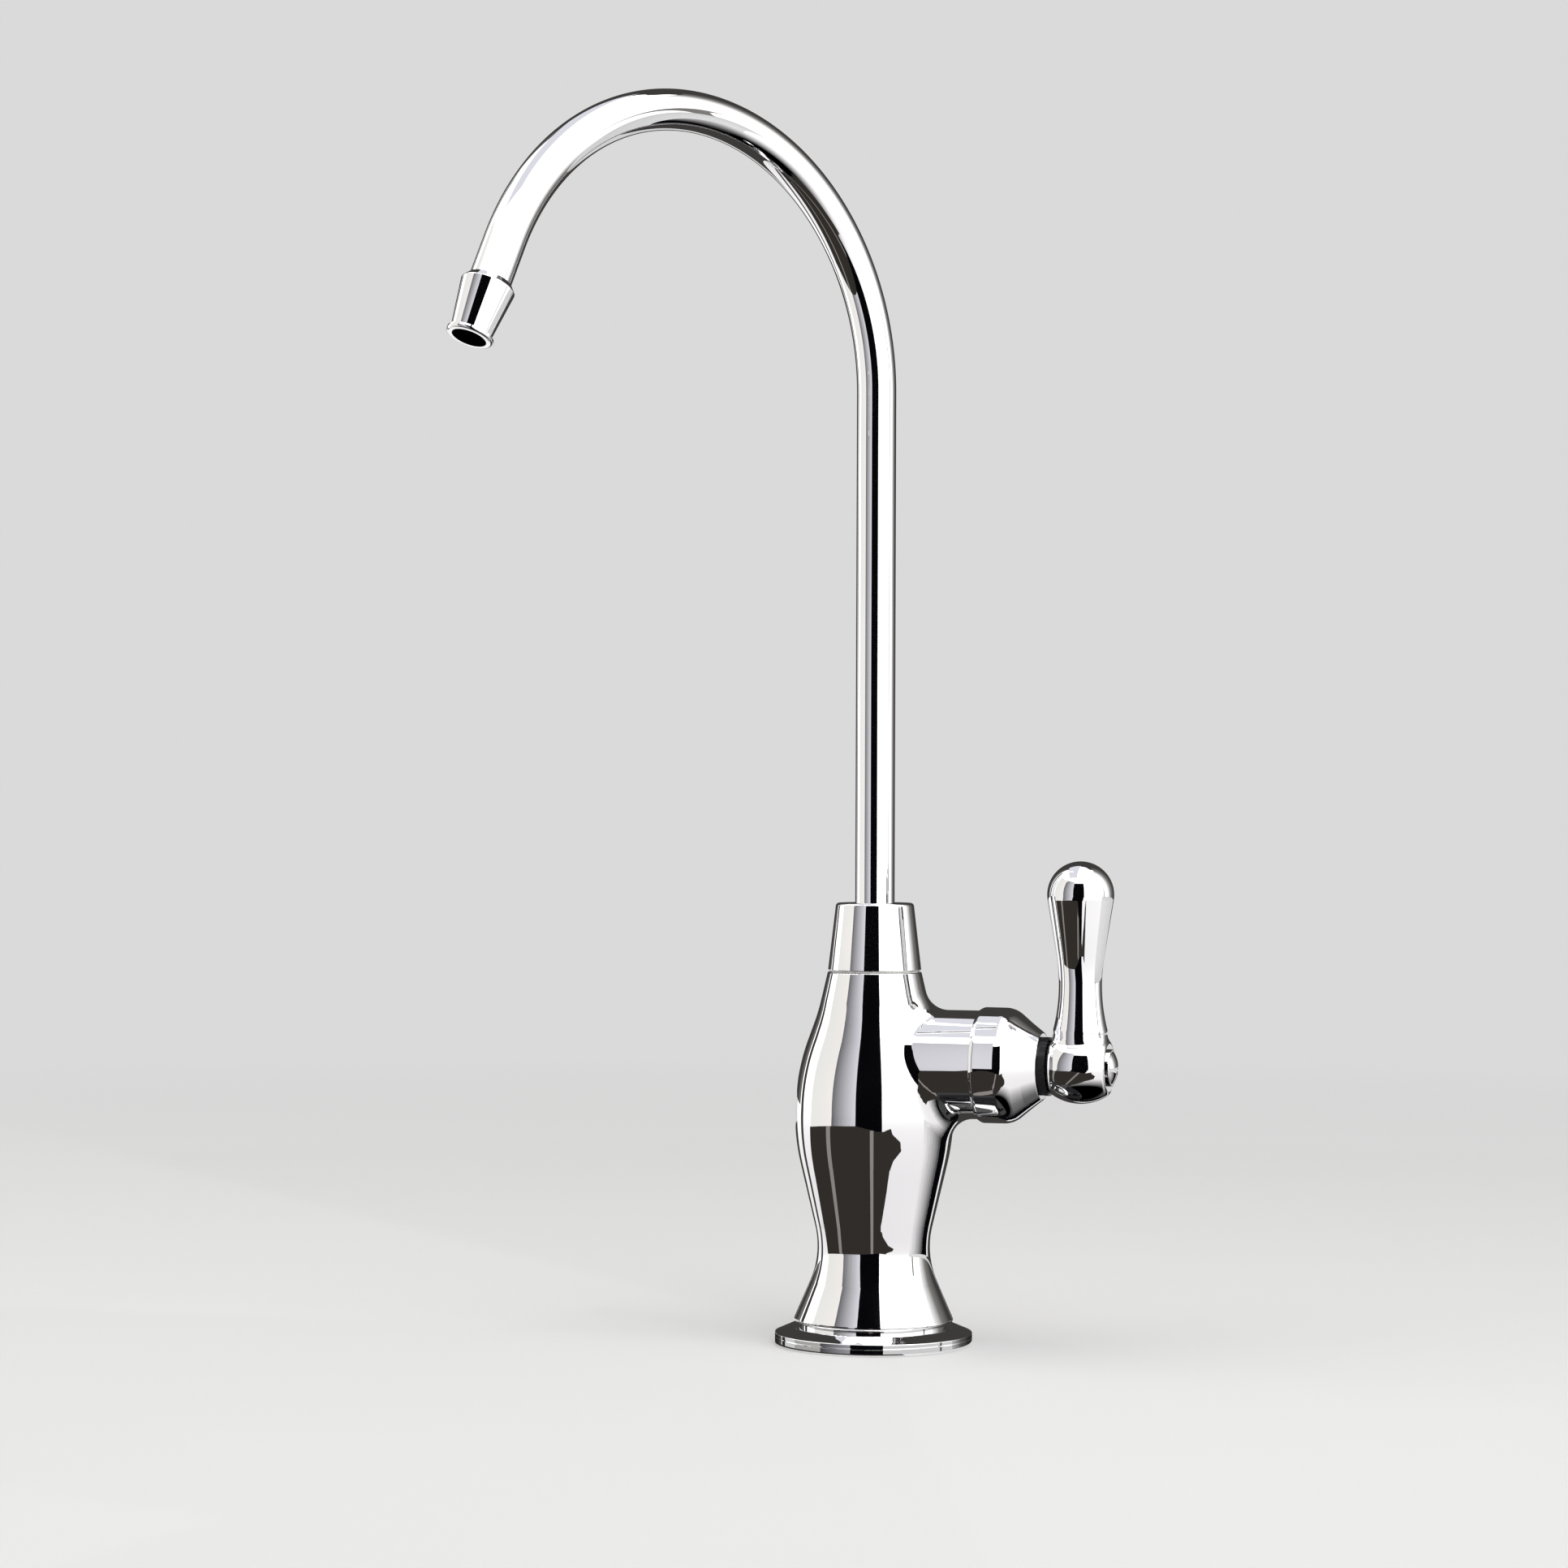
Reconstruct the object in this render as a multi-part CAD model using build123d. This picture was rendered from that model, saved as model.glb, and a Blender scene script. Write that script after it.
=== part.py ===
from build123d import *
import os
from math import acos, atan2, cos, hypot, radians, sin, sqrt, tan

# A deck-mounted drinking water tap with a swivelling gooseneck spout and a quarter-turn side lever.
# The origin is the centre of the base flange's underside, on the deck. +Z runs up the body,
# +X runs out along the lever's axis and -Y is the front. All lengths are millimetres.

# Clearances that several fits share, each measured on the radius or between two faces
push_gap = 0.05
thread_gap = 0.10
turning_gap = 0.06
washer_gap = 0.35
face_gap = 0.10
ring_gap = 0.09
lapped_gap = 0.02
overrun = 1.0

# Base flange and its gasket
flange_r = 25.0
rim_height = 3.0
rim_edge_r = 0.25
rim_groove_depth = 0.2
rim_groove_width = 0.36
rim_groove_height_share = 0.63
step_r = 21.2
step_height = 1.6
step_edge_r = 0.4
plinth_r = 18.8
plinth_height = 1.0
gasket_r = 20.4
gasket_bore_r = 7.0
gasket_thickness = 2.0
gasket_side_gap = 0.5

# Valve body: a turned brass casting whose outline is five corners joined by large arcs. An arc
# share is how much of the shorter slope beside a corner its arc takes.
body_height = 88.6
body_base_r = 20.5
body_waist_corner_r = 13.15
body_belly_corner_r = 22.4
body_shoulder_corner_r = 14.3
body_top_r = 11.9
body_waist_height_share = 0.193
body_belly_height_share = 0.630
body_shoulder_height_share = 0.884
body_base_edge_r = 0.7
body_waist_arc_share = 0.3920
body_belly_arc_share = 0.6862
body_shoulder_arc_share = 0.2312
body_top_edge_r = 0.4

# Side boss that holds the cartridge, with a threaded spigot for the bonnet
lever_axis_drop = 23.0
boss_r = 13.65
boss_stand = 5.5
boss_blend_r = 6.5
boss_blend_limit_share = 0.8
spigot_r = 12.4
spigot_length = 3.6

# Water ways in the body
seat_x = 3.0
waterway_r = 1.9
seat_way_r = 1.6
inlet_way_x = -1.8
outlet_way_x = 5.0
chamber_r = 9.6
chamber_end_x = 21.5
cartridge_thread_r = 10.4
shank_socket_depth = 16.0
spout_socket_r = 7.0
spout_socket_depth = 11.2

# Cartridge: seal, two ceramic discs, brass sleeve and stem, from the seat outwards along +X
seal_r = 7.6
seal_bore_r = 2.6
seal_thickness = 2.2
seal_proud = 1.2
fixed_disc_thickness = 3.0
moving_disc_thickness = 2.8
moving_disc_r = 7.2
disc_port_inner_r = 1.6
disc_port_outer_r = 5.8
disc_port_angle = 84.0
disc_lug_width = 3.0
sleeve_r = 8.6
sleeve_wall = 0.85
dog_width = 5.0
dog_length = 12.6
dog_bite = 1.2
dog_reach = 2.6
stem_collar_r = 6.4
stem_collar_length = 2.0
thrust_washer_thickness = 0.6
stem_r = 4.9
window_width = 8.0
window_length = 2.4
cartridge_ring_x = 18.2
cartridge_ring_section_r = 1.0
cartridge_hex_flats = 21.0
cartridge_hex_length = 4.5
cartridge_neck_r = 6.2
cartridge_neck_length = 3.5
stem_ring_x = (19.0, 26.0)
stem_ring_section_r = 0.72
stem_groove_depth = 1.5
clip_thickness = 0.8
clip_r = 6.0
clip_groove_depth = 0.6
clip_gap_width = 5.0
spline_teeth = 20
spline_r = 4.0
spline_tooth_depth = 0.4
spline_length = 9.6

# Bonnet: a spun cover that screws on the spigot and hides the cartridge's hexagon
bonnet_mouth_r = 14.0
bonnet_shoulder_r = 14.55
bonnet_back_r = 14.5
bonnet_waist_r = 11.05
bonnet_nose_r = 8.5
bonnet_length = 15.95
bonnet_shoulder_share = 0.062
bonnet_back_share = 0.532
bonnet_waist_share = 0.793
bonnet_shoulder_arc_r = 1.3
bonnet_back_arc_r = 6.0
bonnet_waist_arc_r = 8.0
bonnet_cavity_r = 13.2
bonnet_cavity_nose_r = 8.4
bonnet_wall_step = 0.5
bonnet_edge_r = 0.5
bonnet_seam = 0.05

# Nylon bush between bonnet and lever
bush_flange_r = 7.35
bush_flange_length = 1.95
bush_spigot_r = 6.5
bush_spigot_length = 2.6
bush_bore_gap = 0.10

# Lever: a barrel hub with a tapering grip that ends in a round knob
hub_half_length = 7.45
hub_belly_r = 9.1
hub_barrel_arc_r = 12.5
hub_edge_r = 1.2
lever_length = 51.4
knob_r = 8.36
neck_r = 5.37
neck_height = 20.5
neck_arc_r = 45.0
flare_r = 6.8
grip_blend_r = 3.0
screw_r = 2.0
screw_hole_gap = 0.2
screw_head_r = 3.5
screw_head_length = 2.2
screw_length = 9.0
screw_key_flats = 2.5
screw_key_depth = 1.3
hub_web = 1.3
hub_counterbore_r = 4.3

# Index ring and button that close the hub's outer end
index_ring_r = 4.65
index_ring_length = 0.8
index_ring_spigot_length = 2.5
index_ring_wall = 0.6
index_ring_edge_r = 0.25
button_dome_r = 4.15
button_dome_height = 1.3
button_plug_length = 2.1

# Spout: spigot, swivel washer, rings, collar, tube and nozzle
spout_azimuth = -119.5
tube_r = 5.0
tube_wall = 1.2
tube_insertion = 13.5
arch_r = 63.4
arch_start_height = 241.1
arch_sweep = 156.0
tube_tail = 10.7
swivel_washer_thickness = 0.35
swivel_washer_r = 11.0
spout_spigot_length = 10.4
spout_bore_r = 3.0
spout_shoulder_r = 8.9
spout_shoulder_length = 3.4
spout_sleeve_r = 7.6
spout_sleeve_length = 10.5
spout_ring_section_r = 0.72
spout_groove_depth = 1.48
spout_groove_width = 1.6
spout_ring_heights = (1.7, 7.0)
circlip_height = 3.9
circlip_thickness = 1.0
circlip_width = 1.3
circlip_gap_width = 3.0
circlip_groove_depth = 0.6
collar_bottom_r = 11.85
collar_top_r = 9.85
collar_height = 17.1
collar_edge_r = 0.9
collar_foot_edge_r = 0.25
nozzle_length = 15.0
nozzle_mouth_r = 5.35
nozzle_shoulder_r = 6.52
nozzle_chamfer = 1.5
nozzle_throat_r = 4.9
nozzle_lip_r = 5.6
nozzle_lip_length = 1.4
nozzle_lip_edge_r = 0.6
nozzle_bore_r = 4.2
nozzle_socket_depth = 6.8

# Shank and what clamps it to the deck
shank_r = 5.55
shank_bore_r = 2.6
shank_below_deck = 48.0
shank_hole_gap = 0.45
shank_seal_r = 5.4
shank_seal_bore_r = 3.9
shank_seal_thickness = 1.2
deck_thickness = 20.0
rubber_washer_r = 14.0
rubber_washer_thickness = 2.5
steel_washer_r = 14.5
steel_washer_thickness = 1.5
spring_washer_r = 9.0
spring_washer_thickness = 1.6
spring_washer_slit = 0.8
mounting_nut_flats = 17.0
mounting_nut_height = 6.0
nut_corner_cut_share = 0.97

# Inlet compression joint for a 6.35 mm tube
inlet_tube_r = 3.175
inlet_socket_gap = 0.075
inlet_socket_depth = 10.0
inlet_cone_r = 4.2
inlet_cone_length = 1.5
inlet_nut_flats = 14.3
inlet_nut_length = 12.0
inlet_nut_thread_length = 7.0
inlet_nut_cone_length = 2.5
ferrule_r = 4.0
ferrule_end_r = 3.4
ferrule_length = 4.4
ferrule_taper = 1.6

# Heights and places that follow from the sizes above
step_top = rim_height + step_height
body_bottom = step_top + plinth_height
body_top = body_bottom + body_height
lever_axis_height = body_top - lever_axis_drop
boss_reach = body_belly_corner_r + boss_stand
boss_blend_limit = boss_blend_limit_share * (lever_axis_drop - boss_r)
shank_socket_top = body_bottom + shank_socket_depth
spout_socket_bottom = body_top - spout_socket_depth
washer_top = body_top + swivel_washer_thickness
collar_bottom = washer_top + push_gap
collar_top = collar_bottom + collar_height
spout_shoulder_bottom = washer_top + face_gap
spigot_bottom = spout_shoulder_bottom - spout_spigot_length
tube_bottom = collar_top - tube_insertion
spigot_end_x = boss_reach + spigot_length
fixed_disc_x = seat_x + seal_thickness
moving_disc_x = fixed_disc_x + fixed_disc_thickness + lapped_gap
moving_disc_end_x = moving_disc_x + moving_disc_thickness
collar_start_x = moving_disc_end_x + dog_reach - stem_collar_length + lapped_gap
stem_collar_end_x = collar_start_x + stem_collar_length
sleeve_shoulder_x = stem_collar_end_x + thrust_washer_thickness + lapped_gap
hex_end_x = spigot_end_x + cartridge_hex_length
neck_end_x = hex_end_x + cartridge_neck_length
bonnet_start_x = boss_reach + bonnet_seam
bonnet_end_x = bonnet_start_x + bonnet_length
bush_end_x = bonnet_end_x + bush_flange_length
hub_start_x = bush_end_x + face_gap
hub_centre_x = hub_start_x + hub_half_length
hub_end_x = hub_centre_x + hub_half_length
spline_start_x = hub_start_x + face_gap
spline_end_x = spline_start_x + spline_length
web_start_x = spline_end_x + face_gap
web_end_x = web_start_x + hub_web
stem_hole_r = screw_r + push_gap


def band(low, high, outer_r, inner_r=0.0):
    """A round band about +Z between two heights, solid where no inner radius is given."""
    disc = Circle(outer_r)
    if inner_r > 0:
        disc = disc - Circle(inner_r)
    return Pos(0, 0, low) * extrude(disc, high - low)


def turned(points, radii=None):
    """A solid turned about +Z from (radius, height) points, with a rounding for each corner."""
    if radii is None:
        outline = Polyline(*points, close=True)
    else:
        outline = FilletPolyline(*points, radius=radii, close=True)
    face = Plane.XZ * make_face(outline)
    return Rot(0, 0, 180) * revolve(face, Axis.Z)


def along_lever(shape, start=0.0):
    """Lays a shape made about +Z along the lever's axis: its height becomes distance out along +X."""
    frame = Plane(origin=(start, 0, lever_axis_height), x_dir=(0, 1, 0), z_dir=(1, 0, 0))
    return frame.location * shape


def o_ring(middle_r, section_r, height):
    """A rubber ring of round section about +Z."""
    return Pos(0, 0, height) * Torus(middle_r, section_r)


def hexagon_prism(flats, low, high):
    """A hexagonal bar about +Z whose corners are turned off slightly at both ends."""
    corner_r = flats / sqrt(3)
    cut = corner_r * (1 - nut_corner_cut_share)
    length = high - low
    bar = Pos(0, 0, low) * extrude(RegularPolygon(corner_r, 6), length)
    cone_points = [
        (0, low),
        (corner_r - 2 * cut, low),
        (corner_r + push_gap, low + 2 * cut),
        (corner_r + push_gap, high - 2 * cut),
        (corner_r - 2 * cut, high),
        (0, high),
    ]
    return bar & turned(cone_points)


def serrated_bar(outer_r, tooth_depth, low, high):
    """A bar with fine triangular teeth, as on a tap spindle."""
    points = []
    for tooth in range(2 * spline_teeth):
        radius = outer_r - tooth_depth * (tooth % 2)
        turn = radians(180.0 / spline_teeth * tooth)
        points.append((radius * cos(turn), radius * sin(turn)))
    return Pos(0, 0, low) * extrude(make_face(Polyline(*points, close=True)), high - low)


def base_flange():
    recess_r = gasket_r + gasket_side_gap
    groove_middle = rim_height * rim_groove_height_share
    groove_low = groove_middle - rim_groove_width / 2
    groove_high = groove_middle + rim_groove_width / 2
    hole_r = shank_r + shank_hole_gap
    points = [
        (hole_r, gasket_thickness),
        (recess_r, gasket_thickness),
        (recess_r, 0),
        (flange_r, 0),
        (flange_r, groove_low),
        (flange_r - rim_groove_depth, groove_middle),
        (flange_r, groove_high),
        (flange_r, rim_height),
        (step_r, step_top),
        (plinth_r, step_top),
        (plinth_r, body_bottom),
        (hole_r, body_bottom),
    ]
    radii = [0, 0, 0, rim_edge_r, 0, 0, 0, rim_edge_r, step_edge_r, 0, 0, 0]
    return turned(points, radii)


def base_gasket():
    return band(0, gasket_thickness, gasket_r, gasket_bore_r)


def corner_arc_r(before, corner, after, share):
    """The radius of the arc that takes a share of the shorter slope beside an outline's corner."""
    slope_in = Vector(corner) - Vector(before)
    slope_out = Vector(after) - Vector(corner)
    turn = radians(slope_in.get_angle(slope_out))
    return share * min(slope_in.length, slope_out.length) / tan(turn / 2)


def body_outline():
    waist_z = body_bottom + body_height * body_waist_height_share
    belly_z = body_bottom + body_height * body_belly_height_share
    shoulder_z = body_bottom + body_height * body_shoulder_height_share
    points = [
        (0, body_bottom),
        (body_base_r, body_bottom),
        (body_waist_corner_r, waist_z),
        (body_belly_corner_r, belly_z),
        (body_shoulder_corner_r, shoulder_z),
        (body_top_r, body_top),
        (0, body_top),
    ]
    arc_shares = (body_waist_arc_share, body_belly_arc_share, body_shoulder_arc_share)
    arcs = [corner_arc_r(*points[at + 1 : at + 4], share) for at, share in enumerate(arc_shares)]
    return turned(points, [0, body_base_edge_r, *arcs, body_top_edge_r, 0])


def valve_body():
    plain = body_outline()
    boss = along_lever(band(0, boss_reach, boss_r))
    joined = plain + boss
    # The boss meets the turned body along curved edges that lie on the boss, short of its end.
    seam_edges = []
    for edge in joined.edges().filter_by(GeomType.LINE, reverse=True):
        middle = edge.position_at(0.5)
        off_lever = hypot(middle.Y, middle.Z - lever_axis_height)
        on_boss = abs(off_lever - boss_r) < face_gap
        if on_boss and middle.X < boss_reach - overrun and middle.X > 0:
            seam_edges.append(edge)
    # The blend runs up the body's neck, so the neck left above the boss limits it.
    shape = fillet(seam_edges, min(boss_blend_r, boss_blend_limit))
    shape += along_lever(band(boss_reach - overrun, spigot_end_x, spigot_r))
    # Threaded socket for the shank, with the inlet way above it
    shape -= band(body_bottom - overrun, shank_socket_top, shank_r + thread_gap)
    inlet_top = lever_axis_height + waterway_r + seat_way_r
    shape -= Pos(inlet_way_x, 0, 0) * band(shank_socket_top - overrun, inlet_top, waterway_r)
    shape -= along_lever(band(inlet_way_x, seat_x + overrun, seat_way_r))
    # Cartridge chamber, its thread and the outlet way up to the spout socket
    shape -= along_lever(band(seat_x, chamber_end_x + overrun, chamber_r))
    thread_bore_r = cartridge_thread_r + thread_gap
    shape -= along_lever(band(chamber_end_x, spigot_end_x + overrun, thread_bore_r))
    outlet_low = lever_axis_height + sleeve_r
    shape -= Pos(outlet_way_x, 0, 0) * band(outlet_low, spout_socket_bottom + overrun, waterway_r)
    # Spout socket with the groove that the spout's circlip springs into
    shape -= band(spout_socket_bottom, body_top + overrun, spout_socket_r)
    groove_middle = spigot_bottom + circlip_height + circlip_thickness / 2
    groove_half = circlip_thickness / 2 + 2 * face_gap
    groove_r = spout_socket_r + circlip_groove_depth
    shape -= band(groove_middle - groove_half, groove_middle + groove_half, groove_r)
    return shape


def inlet_seal():
    return along_lever(band(seat_x, fixed_disc_x, seal_r, seal_bore_r))


def port_sector(low, high, turn):
    """One opening of a ceramic disc: a ring sector centred on the given angle."""
    half = disc_port_angle / 2
    lead = radians(turn - half)
    tail = radians(turn + half)
    middle = radians(turn)
    inner = disc_port_inner_r
    outer = disc_port_outer_r
    inner_start = (inner * cos(lead), inner * sin(lead))
    inner_middle = (inner * cos(middle), inner * sin(middle))
    inner_end = (inner * cos(tail), inner * sin(tail))
    outer_start = (outer * cos(lead), outer * sin(lead))
    outer_middle = (outer * cos(middle), outer * sin(middle))
    outer_end = (outer * cos(tail), outer * sin(tail))
    outline = [
        Line(inner_start, outer_start),
        ThreePointArc(outer_start, outer_middle, outer_end),
        Line(outer_end, inner_end),
        ThreePointArc(inner_end, inner_middle, inner_start),
    ]
    return Pos(0, 0, low) * extrude(make_face(outline), high - low)


def fixed_disc():
    end_x = fixed_disc_x + fixed_disc_thickness
    disc = band(fixed_disc_x, end_x, seal_r)
    lug_length = 2 * (sleeve_r - face_gap)
    lug = Pos(0, 0, fixed_disc_x) * extrude(Rectangle(lug_length, disc_lug_width), fixed_disc_thickness)
    disc += lug
    for turn in (0, 180):
        disc -= port_sector(fixed_disc_x - overrun, end_x + overrun, turn)
    return along_lever(disc)


def moving_disc():
    disc = band(moving_disc_x, moving_disc_end_x, moving_disc_r)
    for turn in (90, 270):
        disc -= port_sector(moving_disc_x - overrun, moving_disc_end_x + overrun, turn)
    slot_low = moving_disc_end_x - dog_bite - lapped_gap
    slot = Rectangle(2 * moving_disc_r + overrun, dog_width + 2 * push_gap)
    disc -= Pos(0, 0, slot_low) * extrude(slot, dog_bite + overrun)
    return along_lever(disc)


def cartridge_stem():
    dog_low = moving_disc_end_x - dog_bite
    dog = Pos(0, 0, dog_low) * extrude(Rectangle(dog_length, dog_width), dog_bite + dog_reach)
    stem = dog & band(dog_low, stem_collar_end_x, moving_disc_r)
    stem += band(collar_start_x, stem_collar_end_x, stem_collar_r)
    stem += band(stem_collar_end_x - lapped_gap, hub_start_x, stem_r)
    stem += serrated_bar(spline_r, spline_tooth_depth, hub_start_x - overrun, spline_end_x)
    ring_groove_r = stem_r - stem_groove_depth
    half = stem_ring_section_r + face_gap
    for ring_x in stem_ring_x:
        stem -= band(ring_x - half, ring_x + half, stem_r + overrun, ring_groove_r)
    clip_low = neck_end_x + face_gap / 2
    clip_high = clip_low + clip_thickness + face_gap
    stem -= band(clip_low, clip_high, stem_r + overrun, stem_r - clip_groove_depth)
    hole_low = spline_end_x - screw_length
    stem -= band(hole_low, spline_end_x + overrun, stem_hole_r)
    return along_lever(stem)


def stem_o_rings():
    middle_r = stem_r - stem_groove_depth + stem_ring_section_r + lapped_gap
    rings = []
    for ring_x in stem_ring_x:
        rings.append(along_lever(o_ring(middle_r, stem_ring_section_r, ring_x)))
    return Compound(rings)


def thrust_washer():
    start = stem_collar_end_x + lapped_gap / 2
    outer_r = sleeve_r - sleeve_wall - push_gap
    return along_lever(band(start, start + thrust_washer_thickness, outer_r, stem_r + ring_gap))


def cartridge_body():
    bore_r = sleeve_r - sleeve_wall
    sleeve_start = seat_x + seal_proud
    sleeve = band(sleeve_start, chamber_end_x + face_gap, sleeve_r)
    sleeve += band(chamber_end_x + face_gap, spigot_end_x, cartridge_thread_r)
    sleeve += hexagon_prism(cartridge_hex_flats, spigot_end_x, hex_end_x)
    sleeve += band(hex_end_x - face_gap, neck_end_x, cartridge_neck_r)
    sleeve -= band(sleeve_start - overrun, sleeve_shoulder_x, bore_r)
    sleeve -= band(sleeve_shoulder_x - overrun, neck_end_x + overrun, stem_r + turning_gap)
    # Slots that keep the fixed disc from turning, and windows that let the water out
    slot_high = fixed_disc_x + fixed_disc_thickness + push_gap
    slot = Rectangle(2 * sleeve_r + overrun, disc_lug_width + 2 * push_gap)
    sleeve -= Pos(0, 0, sleeve_start - overrun) * extrude(slot, slot_high - sleeve_start + overrun)
    window_low = sleeve_shoulder_x - thrust_washer_thickness - window_length
    window = Rectangle(window_width, 2 * sleeve_r + overrun)
    sleeve -= Pos(0, 0, window_low) * extrude(window, window_length)
    groove_r = chamber_r - ring_gap - 2 * cartridge_ring_section_r - push_gap
    half = cartridge_ring_section_r + face_gap
    sleeve -= band(cartridge_ring_x - half, cartridge_ring_x + half, sleeve_r + overrun, groove_r)
    return along_lever(sleeve)


def cartridge_o_ring():
    middle_r = chamber_r - ring_gap - cartridge_ring_section_r
    return along_lever(o_ring(middle_r, cartridge_ring_section_r, cartridge_ring_x))


def open_ring(low, high, outer_r, inner_r, gap_width):
    """A flat spring ring with a gap on one side."""
    ring = band(low, high, outer_r, inner_r)
    gap = Pos(outer_r / 2 + inner_r / 2, 0, low - overrun)
    return ring - gap * extrude(Rectangle(outer_r, gap_width), high - low + 2 * overrun)


def stem_clip():
    low = neck_end_x + face_gap
    inner_r = stem_r - clip_groove_depth + push_gap
    return along_lever(open_ring(low, low + clip_thickness, clip_r, inner_r, clip_gap_width))


def bonnet():
    shoulder_x = bonnet_start_x + bonnet_length * bonnet_shoulder_share
    back_x = bonnet_start_x + bonnet_length * bonnet_back_share
    waist_x = bonnet_start_x + bonnet_length * bonnet_waist_share
    points = [
        (0, bonnet_start_x),
        (bonnet_mouth_r, bonnet_start_x),
        (bonnet_shoulder_r, shoulder_x),
        (bonnet_back_r, back_x),
        (bonnet_waist_r, waist_x),
        (bonnet_nose_r, bonnet_end_x),
        (0, bonnet_end_x),
    ]
    radii = [
        0,
        bonnet_edge_r,
        bonnet_shoulder_arc_r,
        bonnet_back_arc_r,
        bonnet_waist_arc_r,
        bonnet_edge_r,
        0,
    ]
    cover = turned(points, radii)
    cavity_low = spigot_end_x + face_gap
    cover -= band(bonnet_start_x - overrun, cavity_low, spigot_r + thread_gap)
    cavity_points = [
        (0, cavity_low - bonnet_wall_step),
        (spigot_r, cavity_low - bonnet_wall_step),
        (bonnet_cavity_r, cavity_low),
        (bonnet_cavity_r, back_x - bonnet_wall_step),
        (bonnet_cavity_nose_r, waist_x - bonnet_wall_step),
        (0, waist_x - bonnet_wall_step),
    ]
    cover -= turned(cavity_points)
    cover -= band(waist_x - overrun, bonnet_end_x + overrun, bush_spigot_r + push_gap)
    return along_lever(cover)


def stem_bush():
    bush = band(bonnet_end_x, bush_end_x, bush_flange_r)
    bush += band(bonnet_end_x - bush_spigot_length, bonnet_end_x + push_gap, bush_spigot_r)
    bore_low = bonnet_end_x - bush_spigot_length - overrun
    bush -= band(bore_low, bush_end_x + overrun, stem_r + bush_bore_gap)
    return along_lever(bush)


def lever_hub():
    """The barrel of the lever about its turning axis."""
    end_r = hub_belly_r - hub_barrel_arc_r + sqrt(hub_barrel_arc_r**2 - hub_half_length**2)
    outline = [
        Line((0, hub_start_x), (end_r, hub_start_x)),
        ThreePointArc((end_r, hub_start_x), (hub_belly_r, hub_centre_x), (end_r, hub_end_x)),
        Line((end_r, hub_end_x), (0, hub_end_x)),
        Line((0, hub_end_x), (0, hub_start_x)),
    ]
    barrel = revolve(Plane.XZ * make_face(outline), Axis.Z)
    rims = barrel.edges().filter_by(GeomType.CIRCLE)
    return along_lever(fillet(rims, hub_edge_r))


def lever_grip():
    """The upright grip about +Z: round knob, straight taper and a hollowed neck that flares to the hub."""
    knob_z = lever_length - knob_r
    arc_x = neck_r + neck_arc_r
    run = hypot(arc_x, knob_z - neck_height)
    tilt = atan2(knob_z - neck_height, arc_x) - acos((knob_r + neck_arc_r) / run)
    knob_touch = (knob_r * cos(tilt), knob_z - knob_r * sin(tilt))
    knob_side = (knob_r * sin(radians(45)), knob_z + knob_r * cos(radians(45)))
    neck_touch = (arc_x - neck_arc_r * cos(tilt), neck_height + neck_arc_r * sin(tilt))
    flare_drop = sqrt(neck_arc_r**2 - (arc_x - flare_r) ** 2)
    flare_z = neck_height - flare_drop
    outline = [
        ThreePointArc((0, lever_length), knob_side, knob_touch),
        Line(knob_touch, neck_touch),
        ThreePointArc(neck_touch, (neck_r, neck_height), (flare_r, flare_z)),
        Line((flare_r, flare_z), (flare_r, 0)),
        Line((flare_r, 0), (0, 0)),
        Line((0, 0), (0, lever_length)),
    ]
    grip = revolve(Plane.XZ * make_face(outline), Axis.Z)
    return Pos(hub_centre_x, 0, lever_axis_height) * grip


def lever_handle():
    hub = lever_hub()
    lever = hub + lever_grip()
    # The grip meets the barrel along one wavy edge that lies on the flare.
    blend_edges = []
    for edge in lever.edges().filter_by(GeomType.BSPLINE):
        middle = edge.position_at(0.5)
        off_grip = hypot(middle.X - hub_centre_x, middle.Y)
        above = middle.Z - lever_axis_height
        if abs(off_grip - flare_r) < face_gap and above > 0 and above < hub_belly_r:
            blend_edges.append(edge)
    lever = fillet(blend_edges, grip_blend_r)
    bore = serrated_bar(spline_r + push_gap, spline_tooth_depth, hub_start_x - overrun, web_start_x)
    bore += band(web_start_x - overrun, web_end_x + overrun, screw_r + screw_hole_gap)
    bore += band(web_end_x, hub_end_x + overrun, hub_counterbore_r)
    return lever - along_lever(bore)


def handle_screw():
    head_low = web_end_x
    head_high = head_low + screw_head_length
    tip = spline_end_x - screw_length + overrun
    screw = band(tip, head_low + push_gap, screw_r)
    screw += band(head_low, head_high, screw_head_r)
    key = RegularPolygon(screw_key_flats / sqrt(3), 6)
    screw -= Pos(0, 0, head_high - screw_key_depth) * extrude(key, screw_key_depth + overrun)
    return along_lever(screw)


def index_ring():
    inner_r = hub_counterbore_r - index_ring_wall
    points = [
        (inner_r, hub_end_x - index_ring_spigot_length),
        (hub_counterbore_r - push_gap, hub_end_x - index_ring_spigot_length),
        (hub_counterbore_r - push_gap, hub_end_x),
        (index_ring_r, hub_end_x),
        (index_ring_r, hub_end_x + index_ring_length),
        (inner_r, hub_end_x + index_ring_length),
    ]
    radii = [0, 0, 0, 0, index_ring_edge_r, 0]
    return along_lever(turned(points, radii))


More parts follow.
